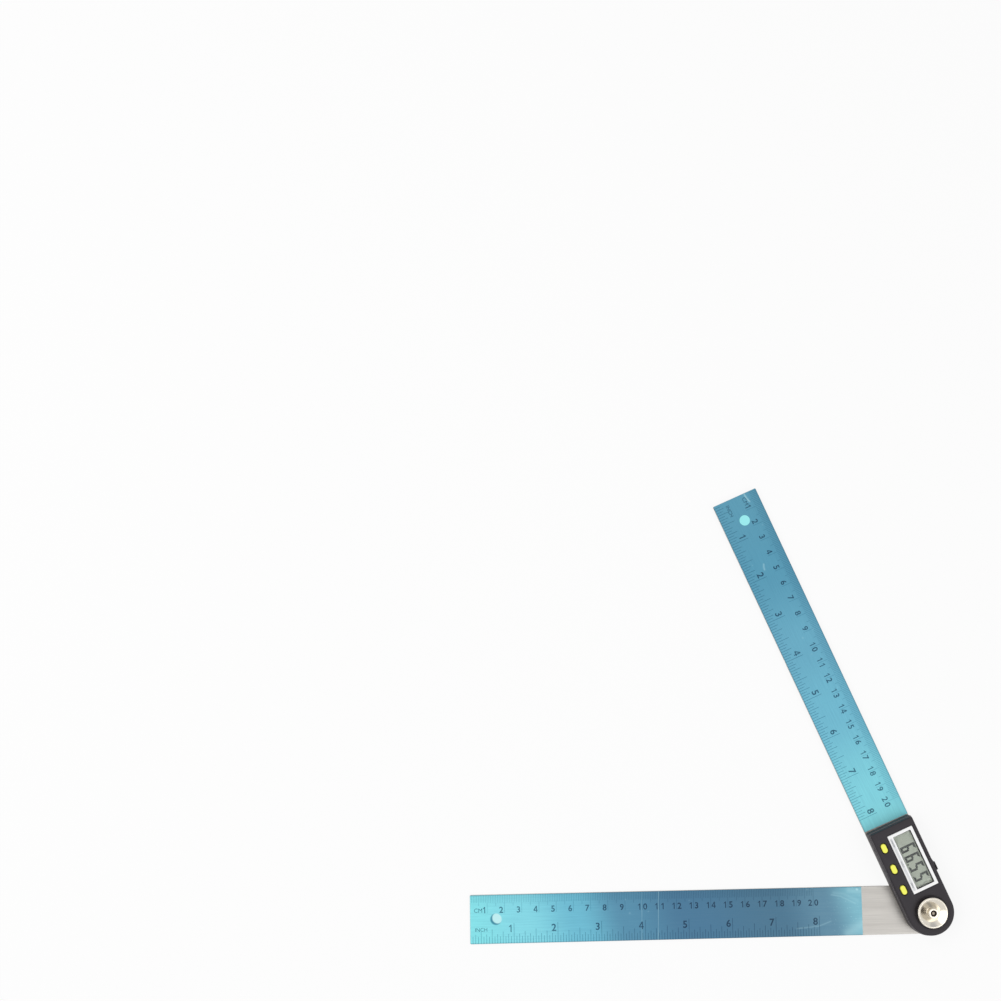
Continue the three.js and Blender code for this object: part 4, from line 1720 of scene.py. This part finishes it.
@dataclass
class Display:
    """Silver frame with its printed button names, and the figures that the cell shows."""

    frame_low: Point = (-49.3, -4.7)
    frame_high: Point = (-13.2, 11.05)
    view_low: Point = (-47.5, -1.7)
    view_high: Point = (-15.0, 9.25)
    heights: Point = (11.1, 12.2)
    reading: str = "66.55"
    figure_height: float = 8.9
    figure_width: float = 3.75
    stroke: float = 1.28
    gap: float = 0.02
    shares: tuple[float, ...] = (0.283, 0.463, 0.643, 0.833)
    point_side: float = 0.85
    point_drop: float = 0.1
    lit_film: Point = (0.01, 0.04)
    print_depth: float = 0.02
    band: Point = (-4.1, -2.75)
    names: tuple[tuple[float, str], ...] = ((-44.45, "ON/OFF"), (-31.45, "HOLD"), (-18.45, "ZERO"))
    name_height: float = 0.95
    liner: float = 0.38
    slim_liner: float = 0.1
    liner_drop: float = 0.25

    LIT: ClassVar[dict[str, str]] = {"6": "acdefg", "5": "acdfg"}

    def bezel(self) -> Mesh:
        """Frame with rounded outer edges and an inner edge that slopes to the glass.

        Returns:
            The mesh in the frame's place.
        """
        low, high = self.heights
        # Each step has its height, then how far the outer and the inner edge stand back.
        steps = ((low, 0.1, 0.0), (low + 0.1, 0.0, 0.0), (high - 0.22, 0.0, 0.02),
                 (high - 0.08, 0.06, 0.1), (high, 0.22, 0.26), (high, 0.4, 0.4))
        levels = []
        for z, outer, inner in steps:
            outside = rounded_box(self.frame_low, self.frame_high, corner=0.35, grow=-outer)
            inside = rounded_box(self.view_low, self.view_high, corner=0.3, grow=inner)
            levels.append((z, [outside, list(reversed(inside))]))
        return Side.UPPER.settle(stacked(levels))

    def strip(self) -> Mesh:
        """Printed band under the button names.

        Returns:
            The mesh in the frame's place.
        """
        low, high = self.band
        outline = rounded_box((self.view_low[0], low), (self.view_high[0], high), corner=0.1)
        return Side.UPPER.settle(plate([outline], 0.0, self.print_depth / 2), self.heights[1])

    def labels(self) -> Mesh:
        """Button names printed on the band.

        Returns:
            The mesh in the frame's place.
        """
        middle = sum(self.band) / 2
        words = [lettering(name, self.name_height, along, middle, self.print_depth, weight=0.02)
                 for along, name in self.names]
        return Side.UPPER.settle(joined(words), self.heights[1])

    def gasket(self) -> Mesh:
        """Black ring round the pane, a painted shadow of the window's recess, wide on the sides
        that the camera looks under.

        Returns:
            The mesh in the frame's place.
        """
        low, high = self.view_low, self.view_high
        inner = rounded_box((low[0] + self.slim_liner, low[1] + self.slim_liner),
                            (high[0] - self.liner, high[1] - self.liner), corner=0.25)
        ring = plate([rounded_box(low, high, corner=0.3), inner], self.heights[0],
                     self.heights[1] - self.liner_drop, edge=0.03)
        return Side.UPPER.settle(ring)

    def segments(self, left: float, base: float) -> dict[str, Loop]:
        """Outlines of a figure's segments, all but the one that this reading never lights.

        Args:
            left: Left side of the figure.
            base: Foot of the figure.

        Returns:
            Outline of each segment by its letter.
        """
        width, height, thick, gap = self.figure_width, self.figure_height, self.stroke, self.gap
        middle, tip = height / 2, thick / 2
        foot = [(gap, 0), (width - gap, 0), (width - thick - gap, thick), (thick + gap, thick)]
        side = [(0, gap), (thick, thick + gap), (thick, middle - gap - tip), (tip, middle - gap),
                (0, middle - gap)]
        bar = [(gap + tip, middle), (gap + thick, middle - tip),
               (width - thick - gap, middle - tip), (width - gap - tip, middle),
               (width - thick - gap, middle + tip), (gap + thick, middle + tip)]
        shapes = {"a": [(x, height - y) for x, y in foot], "c": [(width - x, y) for x, y in side],
                  "d": foot, "e": side, "f": [(x, height - y) for x, y in side], "g": bar}
        return {letter: [(left + x, base + y) for x, y in shape]
                for letter, shape in shapes.items()}

    def figures(self) -> Mesh:
        """The reading in seven segment figures, with its point.

        Returns:
            The mesh in the frame's place.
        """
        length = self.view_high[0] - self.view_low[0]
        base = (self.view_low[1] + self.view_high[1] - self.figure_height) / 2
        _, glass = heights("lcd_panel")
        low, high = (glass + rise for rise in self.lit_film)
        lit = []
        for share, figure in zip(self.shares, self.reading.replace(".", "")):
            left = self.view_low[0] + share * length - self.figure_width / 2
            outlines = self.segments(left, base)
            lit += [plate([outlines[letter]], low, high) for letter in self.LIT[figure]]
        point = self.view_low[0] + (self.shares[1] + self.shares[2]) / 2 * length
        half, foot = self.point_side / 2, base - self.point_drop
        lit.append(plate([rounded_box((point - half, foot), (point + half, foot + self.point_side),
                                      corner=0.1)], low, high))
        return Side.UPPER.settle(joined(lit))

    def build(self, silver: Material, band_ink: Material, print_ink: Material, segment: Material,
              shade_black: Material) -> None:
        """Makes the display's pieces.

        Args:
            silver: Material of the frame.
            band_ink: Material of the band under the button names.
            print_ink: Material of the button names.
            segment: Material of the figures.
            shade_black: Material of the black ring round the pane, a painted shadow.
        """
        body = Side.UPPER.body
        place("display_frame", self.bezel(), silver, body, ["lcd_bezel"])
        place("name_band", self.strip(), band_ink, body)
        place("button_names", self.labels(), print_ink, body)
        place("display_figures", self.figures(), segment, body)
        # The black ring round the pane is painted shadow of the window's recess.
        place("window_liner", self.gasket(), shade_black, body)


@dataclass
class Button:
    """One press button: a crowned cap on a flange, with a black ring on the flange in the gap round
    it, a painted shadow of the gap.
    """

    name: str
    along: float
    across: float
    cap: Point = (5.4, 3.0)
    flange: Point = (7.0, 4.6)
    heights: tuple[float, float, float] = (9.8, 10.3, 12.4)
    felt: Point = (6.8, 4.4)
    felt_thick: float = 0.04
    crown: tuple[Point, ...] = ((0.0, 0.36), (0.05, 0.22), (0.14, 0.12), (0.3, 0.05),
                                (0.6, 0.015), (1.0, 0.0))

    def build(self, plastic: Material, felt: Material) -> None:
        """Makes the button and its ring.

        Args:
            plastic: Material of the button.
            felt: Material of the ring, a painted shadow seen as a thin black line round the cap.
        """
        bottom, shoulder, top = self.heights

        def cap(inset: float) -> list[Loop]:
            """Outline of the cap drawn in by an inset."""
            return [obround(self.along, self.across, self.cap[0] - 2 * inset,
                            self.cap[1] - 2 * inset)]

        flange = [obround(self.along, self.across, *self.flange)]
        made = stacked([(bottom, flange), (shoulder, flange), (shoulder, cap(0)),
                        *((top - drop, cap(inset)) for inset, drop in self.crown)])
        place(f"{self.name}_cap", Side.UPPER.settle(made), plastic, f"{self.name}_button",
              [f"button_{self.name}"], smooth=40)
        # The black ring on the flange is painted shadow of the gap round the cap.
        ring = plate([obround(self.along, self.across, *self.felt), *cap(-self.felt_thick)],
                     shoulder, shoulder + self.felt_thick)
        place(f"{self.name}_felt_ring", Side.UPPER.settle(ring), felt, f"{self.name}_button")


@dataclass
class LockKnob:
    """Turned locking knob: a rim round a conical dish, and a straight hub bored for the stud."""

    radius: float = 8.7
    foot: float = 11.7
    rim: float = 15.4
    rim_width: float = 0.9
    dish: float = 12.75
    hub: float = 2.9
    hub_top: float = 16.699
    land: float = 0.06
    land_edge: float = 0.3
    land_round: float = 0.04
    bore: float = 1.8
    recess: float = 6.3
    recess_top: float = 12.1
    stud: float = 0.8
    stud_low: float = 15.85
    stud_high: float = 15.98
    stud_round: float = 0.06

    def build(self, nickel: Material, bright: Material, steel: Material) -> None:
        """Makes the knob, its hub end and the disc on the stud's end, the last two paler as painted
        highlight.

        Args:
            nickel: Material of the knob.
            bright: Material of the hub's end, a paler copy of the nickel as painted highlight.
            steel: Material of the disc on the stud's end, a painted highlight in the dark bore.
        """
        inner = self.radius - self.rim_width
        # Each corner has its radius from the axis, its height and how far it is rounded.
        corners = [
            (self.bore, self.recess_top, 0), (self.recess, self.recess_top, 0),
            (self.recess, self.foot, 0.08), (self.radius, self.foot, 0.3),
            (self.radius, self.rim, 0.35), (inner, self.rim, 0.3), (self.hub, self.dish, 0.15),
            (self.hub, self.hub_top - self.land, 0.2), (self.bore, self.hub_top - self.land, 0),
        ]
        made = turned(rounded_profile(corners, steps=8), facets=160)
        place("locking_knob", made, nickel, "knob", ["lock_knob"], smooth=45)
        low, wide = self.hub_top - self.land, self.hub - self.land_edge
        narrow = self.bore + self.land
        land = rounded_profile([
            (narrow, low, 0), (wide, low, 0), (wide, self.hub_top, self.land_round),
            (narrow, self.hub_top, self.land_round)], steps=3)
        # The hub's end is a paler copy of the nickel, a painted highlight.
        place("hub_end", turned(land, facets=96), bright, "knob")
        spot = rounded_profile([
            (0, self.stud_low, 0), (self.stud, self.stud_low, 0),
            (self.stud, self.stud_high, self.stud_round), (0, self.stud_high, 0)], steps=3)
        # The disc on the stud's end is a painted highlight in the dark bore.
        place("stud_end", turned(spot, facets=32), steel, Side.LOWER.body)


@dataclass
class BatteryDrawer:
    """Two finger teeth on the front of the battery tray."""

    root: float = 13.2
    heights: Point = (4.7, 6.7)
    tip: float = 0.2
    teeth: tuple[tuple[Point, Point], ...] = (((29.7, 13.95), (24.3, 14.8)),
                                              ((24.1, 14.35), (19.8, 15.3)))

    def build(self, plastic: Material) -> None:
        """Makes the teeth.

        Args:
            plastic: Material of the tray.
        """
        low, high = self.heights
        made = []
        for (far, shallow), (near, proud) in self.teeth:
            tooth = [(-far, self.root), (-near, self.root), (-near, proud - self.tip),
                     (-near - self.tip, proud), (-far, shallow)]
            made.append(plate([tooth], low, high, edge=0.08))
        place("tray_grip_teeth", Side.UPPER.settle(joined(made)), plastic, "battery_drawer")


# Dressing, light and camera


def dress_nodes(finishes: dict[str, Material]) -> None:
    """Gives every CAD node that is still shown the material made for it.

    Args:
        finishes: Material of each node by the node's name.
    """
    for name, finish in finishes.items():
        for material_slot in frame["nodes"][name].material_slots:
            material_slot.material = finish
        log.info("%s is dressed in %s", name, finish.name)


@dataclass(frozen=True)
class Lamp:
    """A softbox that looks at the middle of the object, in metres and watts."""

    name: str
    at: tuple[float, float, float]
    width: float
    height: float
    power: float

    def build(self) -> None:
        """Hangs the lamp."""
        data = bpy.data.lights.new(self.name, "AREA")
        data.shape, data.size, data.size_y = "RECTANGLE", self.width, self.height
        data.energy = self.power
        lamp = bpy.data.objects.new(self.name, data)
        lamp.location = self.at
        middle = (cad_low + cad_high) / 2
        lamp.rotation_mode = "QUATERNION"
        lamp.rotation_quaternion = (middle - Vector(self.at)).to_track_quat("-Z", "Y")
        bpy.context.scene.collection.objects.link(lamp)


@dataclass(frozen=True)
class Flag:
    """An upright studio flag that only shows as a reflection, in metres."""

    name: str
    foot: tuple[float, float, float]
    along: tuple[float, float, float]
    width: float
    height: float
    shade: str

    def build(self) -> None:
        """Stands the flag up."""
        reach = Vector(self.along).normalized() * self.width / 2
        low, rise = Vector(self.foot), Vector((0, 0, self.height))
        mesh = bpy.data.meshes.new(self.name)
        mesh.from_pydata([low - reach, low + reach, low + reach + rise, low - reach + rise], [],
                         [(0, 1, 2, 3)])
        material = bpy.data.materials.new(f"{self.name}_cloth")
        tree = empty_tree(material)
        cloth = add_node(tree, "ShaderNodeEmission", {"Color": linear(self.shade)})
        add_node(tree, "ShaderNodeOutputMaterial", {"Surface": cloth.outputs[0]})
        mesh.materials.append(material)
        card = bpy.data.objects.new(self.name, mesh)
        card.visible_camera = card.visible_diffuse = card.visible_shadow = False
        card.visible_transmission = False
        bpy.context.scene.collection.objects.link(card)


def seen_directly(tree: NodeTree) -> NodeSocket:
    """Mask that is 1 for rays from the camera, a mirror or a clear pane, and 0 for soft light.

    Args:
        tree: Material or world tree.

    Returns:
        The socket.
    """
    path = add_node(tree, "ShaderNodeLightPath").outputs
    seen = path["Is Camera Ray"]
    for ray in ("Is Glossy Ray", "Is Transmission Ray"):
        seen = add_node(tree, "ShaderNodeMath", {0: seen, 1: path[ray]},
                        operation="MAXIMUM").outputs[0]
    return seen


@dataclass
class Studio:
    """Pale floor, soft lamps and the camera at the photograph's place."""

    eye: tuple[float, float, float] = (-221.997, 128.319, 783.562)
    tilt: tuple[float, float, float] = (4.641, -1.4945, -1.0142)
    lens: float = 47.70
    sensor: float = 36.0
    shift: Point = (-0.0755, 0.0875)
    floor_size: float = 40.0
    floor_drop: float = 0.0001
    floor_glow: float = 0.86
    air: float = 0.52
    lamps: tuple[Lamp, ...] = (
        Lamp("key_softbox", (-0.92, 0.3, 1.15), width=1.5, height=0.85, power=8.5),
        Lamp("fill_softbox", (0.8, -0.5, 1.2), width=0.9, height=0.9, power=5.0),
    )
    flags: tuple[Flag, ...] = (
        Flag("right_flag", (1.1, 0.15, 0.0), (0.0, 1.0, 0.0), width=1.8, height=0.35,
             shade="#4b4036"),
        Flag("left_flag", (-1.3, 0.0, 0.0), (0.0, 1.0, 0.0), width=2.4, height=0.95,
             shade="#3a322b"),
        Flag("rear_flag", (0.5, 1.3, 0.0), (1.0, 0.0, 0.0), width=1.0, height=1.5,
             shade="#c4c7ce"),
    )

    def backdrop(self) -> Material:
        """Floor material: white to the camera, yet it keeps a share of the object's shadow.

        Returns:
            The node material.
        """
        material = bpy.data.materials.new("studio_floor")
        tree = empty_tree(material)
        share = add_node(tree, "ShaderNodeMath", {0: seen_directly(tree), 1: self.floor_glow},
                         operation="MULTIPLY")
        matt = add_node(tree, "ShaderNodeBsdfDiffuse", {"Color": (0.9, 0.9, 0.9, 1)})
        glow = add_node(tree, "ShaderNodeEmission", {"Color": (1, 1, 1, 1), "Strength": 1.0})
        mix = add_node(tree, "ShaderNodeMixShader", {
            0: share.outputs[0], 1: matt.outputs[0], 2: glow.outputs[0]})
        add_node(tree, "ShaderNodeOutputMaterial", {"Surface": mix.outputs[0]})
        return material

    def floor(self) -> None:
        """Lays the floor just below the object."""
        mesh = bpy.data.meshes.new("floor")
        reach = self.floor_size / 2
        mesh.from_pydata([(-reach, -reach, 0), (reach, -reach, 0), (reach, reach, 0),
                          (-reach, reach, 0)], [], [(0, 1, 2, 3)])
        mesh.materials.append(self.backdrop())
        mesh.transform(Matrix.Translation((0, 0, -self.floor_drop)))
        floor = bpy.data.objects.new("floor", mesh)
        bpy.context.scene.collection.objects.link(floor)

    def surroundings(self) -> None:
        """Makes the air white where it is seen, and softer where it only lights."""
        world = bpy.data.worlds.new("studio")
        tree = empty_tree(world)
        white = add_node(tree, "ShaderNodeMix", {
            SHARE: seen_directly(tree), UNDER: (self.air, self.air, self.air, 1),
            OVER: (1, 1, 1, 1),
        }, data_type="RGBA")
        air = add_node(tree, "ShaderNodeBackground", {"Color": white.outputs[MIXED]})
        add_node(tree, "ShaderNodeOutputWorld", {"Surface": air.outputs[0]})
        bpy.context.scene.world = world

    def camera(self) -> None:
        """Sets the camera up at the photograph's place."""
        data = bpy.data.cameras.new("photo_camera")
        data.lens, data.sensor_width = self.lens, self.sensor
        data.shift_x, data.shift_y = self.shift
        camera = bpy.data.objects.new("photo_camera", data)
        camera.location = Vector(self.eye) * MM
        tilt = Vector(self.tilt)
        camera.rotation_mode = "QUATERNION"
        camera.rotation_quaternion = Quaternion(tilt.normalized(), math.radians(tilt.length))
        bpy.context.scene.collection.objects.link(camera)
        bpy.context.scene.camera = camera

    def build(self) -> None:
        """Sets up floor, surroundings, lamps, flags and camera."""
        bpy.context.scene.view_settings.view_transform = "Standard"
        self.floor()
        self.surroundings()
        for prop in (*self.lamps, *self.flags):
            prop.build()
        self.camera()


# Tint of each film from its free end, matched to the photograph at eight and six places along
# the arm. The pale and deep stretches there are mostly the room's reflection; here they are tint.
LOWER_LOOK = FilmLook(
    stops=((0.0, "#8ae8ef"), (30.0, "#8be0ed"), (62.0, "#72c2d9"), (90.0, "#5a93b0"),
           (125.0, "#4c7b9b"), (180.0, "#4e7892"), (208.0, "#6590a7"), (228.0, "#86c2d2")),
    slant=0.3, edge="#f6f8f8", hole="#c2f3f6", hole_shadow=(1.0, 0.7), hole_blur=0.45,
    folds=((99.7, -0.02, 0.3), (109.3, -0.025, 0.38)), blisters_from=206.0)
UPPER_LOOK = FilmLook(
    stops=((0.0, "#5fa1ba"), (50.0, "#5ba0bb"), (95.0, "#6db2cb"), (140.0, "#75c0d7"),
           (190.0, "#86d9e6"), (212.0, "#8bdfe7")),
    slant=0.0, edge="#eff1f3", hole="#9ff3f6", hole_shadow=(0.0, 0.0))

LOWER_CREASES = (
    Crease(((190.0, -9.4), (203.0, -8.2), (210.0, -5.6)), 0.3, 0.22),
    Crease(((210.6, 9.6), (216.0, 8.6), (224.8, 4.2)), 0.32, 0.26),
    Crease(((212.0, 10.6), (218.0, 9.9), (226.0, 6.0)), 0.9, 0.14),
    Crease(((225.6, 12.4), (226.0, 12.2)), 0.6, 0.9),
    Crease(((220.0, -12.5), (228.0, -8.0)), 3.0, 0.3),
    Crease(((221.0, 12.0), (228.0, 11.0)), 1.6, 0.24),
)
# The two folds of the upper film are painted glints: small highlights drawn as folds that whiten
# the film and lift it a little.
UPPER_GLINT_CREASES = (
    Crease(((43.4, -0.8), (44.8, -1.5), (46.6, -1.8)), 0.4, 0.4),
    Crease(((0.8, 6.3), (3.2, 6.6), (5.8, 7.4)), 0.45, 0.5),
)


def main() -> None:
    """Builds the whole angle finder in order, from the arms to the light."""
    logging.basicConfig(level=logging.INFO, format="%(message)s")
    # Steel of screws, contacts, switches and washer: plain, pale, with fine rings where turned.
    bearing = TurnedMetal("turned_bearing_steel").build()
    # ABS of the cover, tray and inner floor: a soft near black with an even satin skin.
    dark_abs = MouldedPlastic("satin_dark_abs").build()
    # The same skin made pale: a thin grey line round the cover on its ledge, a painted highlight
    # where the ledge's edge catches the light.
    ledge_highlight_abs = MouldedPlastic("worn_parting_seam", "#7b7679", "#8a8588").build()
    # ABS of the buttons, from a smoother tool: a clear lemon yellow with a soft shine.
    yellow_abs = MouldedPlastic("yellow_button_abs", "#ffff6c", "#fafa5e", roughness=0.36,
                                peel=0.006).build()
    # Painted shade: a dull black that holds no highlight, for the ring in the display's recess
    # and the rings in the buttons' gaps.
    shade_black = InnerPlastic("black_foam", "#17171a", "#222226", size=0.3, roughness=0.8).build()
    # Etched, tinned board under solder mask: a semi-matt green.
    board = InnerPlastic("green_solder_mask", "#1f6b3a", "#1a5c32", size=0.9,
                         roughness=0.4).build()

    pivot, screws, housing = PivotHoles(), Screws(), Housing()
    lower = Ruler(Side.LOWER, film_start=37.6, film_look=LOWER_LOOK, creases=LOWER_CREASES)
    upper = Ruler(Side.UPPER, film_start=54.8, film_look=UPPER_LOOK, creases=UPPER_GLINT_CREASES,
                  cut_slant=0.65)
    lower.build(BrushedSteel("lower_brushed_steel").build(), pivot.lower, [pivot.counterbore()])
    upper.build(BrushedSteel("upper_brushed_steel", Side.UPPER.turn).build(), pivot.upper,
                screws.countersinks())
    screws.build(bearing)
    housing.build(dark_abs, ledge_highlight_abs)
    Display().build(SilverPaint("silver_lacquer").build(),
                    PatchyInk("pale_grey_print", "#d6d7da", "#e0e1e3").build(),
                    PatchyInk("dark_grey_print", "#75787f", "#85888f", size=0.6).build(),
                    SegmentFilm("display_segments").build(), shade_black)
    for name, along in zip(("zero", "hold", "on_off"), housing.buttons):
        Button(name, along, housing.button_across).build(yellow_abs, shade_black)
    # Nickel over brass, bright dipped: a warm mirror with hardly any ring left in it.
    nickel = TurnedMetal("bright_nickel_plate", "#ddd7cb", "#cbc4b6", roughness=0.14,
                         groove_depth=0.0015, bloom=0.08).build()
    # The hub's end: a paler, a little softer copy of the nickel, a painted highlight on its flat
    # end.
    hub_highlight = TurnedMetal("faced_hub_end", "#efe8da", "#e6dece", roughness=0.2,
                        groove_depth=0.0015).build()
    # The stud's end: a dull brownish grey, paler than the spindle, a painted highlight in the dark
    # bore.
    stud = TurnedMetal("turned_stud_end", "#978d80", "#857c70", roughness=0.34).build()
    LockKnob().build(nickel, hub_highlight, stud)
    BatteryDrawer().build(dark_abs)
    dress_nodes({
        **dict.fromkeys(("base_plate", "battery_tray"), dark_abs),
        **dict.fromkeys(("main_board", "encoder_rotor"), board),
        **dict.fromkeys(("contact_negative", "contact_positive", "switch_zero", "switch_hold",
                         "switch_on_off", "clamp_washer"), bearing),
        # Painted shade: the spindle is coloured nearly black, so that the knob's bore reads as a
        # dark hole.
        "pivot_spindle": TurnedMetal("blackened_spindle_steel", "#312d2a", "#242120",
                                     roughness=0.34).build(),
        # Brass left bare: a warm yellow with fine rings.
        "pivot_bush": TurnedMetal("turned_brass", "#d2ab62", "#b8914c").build(),
        # Pressed and nickelled can: a cool pale grey.
        "coin_cell": TurnedMetal("pressed_cell_can", "#c9c7c4", "#b5b3b0",
                                 roughness=0.3).build(),
        # Nylon in its own colour: a matt cream.
        "friction_washer": InnerPlastic("natural_nylon").build(),
        # Epoxy moulded over the chip: a matt charcoal.
        "controller_chip": InnerPlastic("moulded_epoxy", "#1c1c1e", "#262628", size=0.3,
                                        roughness=0.6).build(),
        # Silicone with conducting layers: cream with fine dark stripes along the strip.
        "zebra_connector": InnerPlastic("zebra_silicone", "#dad5cc", "#3a3836", size=0.4,
                                        roughness=0.6, stretch=(1.0, 0.02, 0.02),
                                        turn=Side.UPPER.turn).build(),
        "lcd_panel": DisplayGlass("liquid_crystal_glass").build(),
        "lcd_window": ClearAcrylic("clear_acrylic").build(),
    })
    Studio().build()


if __name__ == "__main__":
    main()
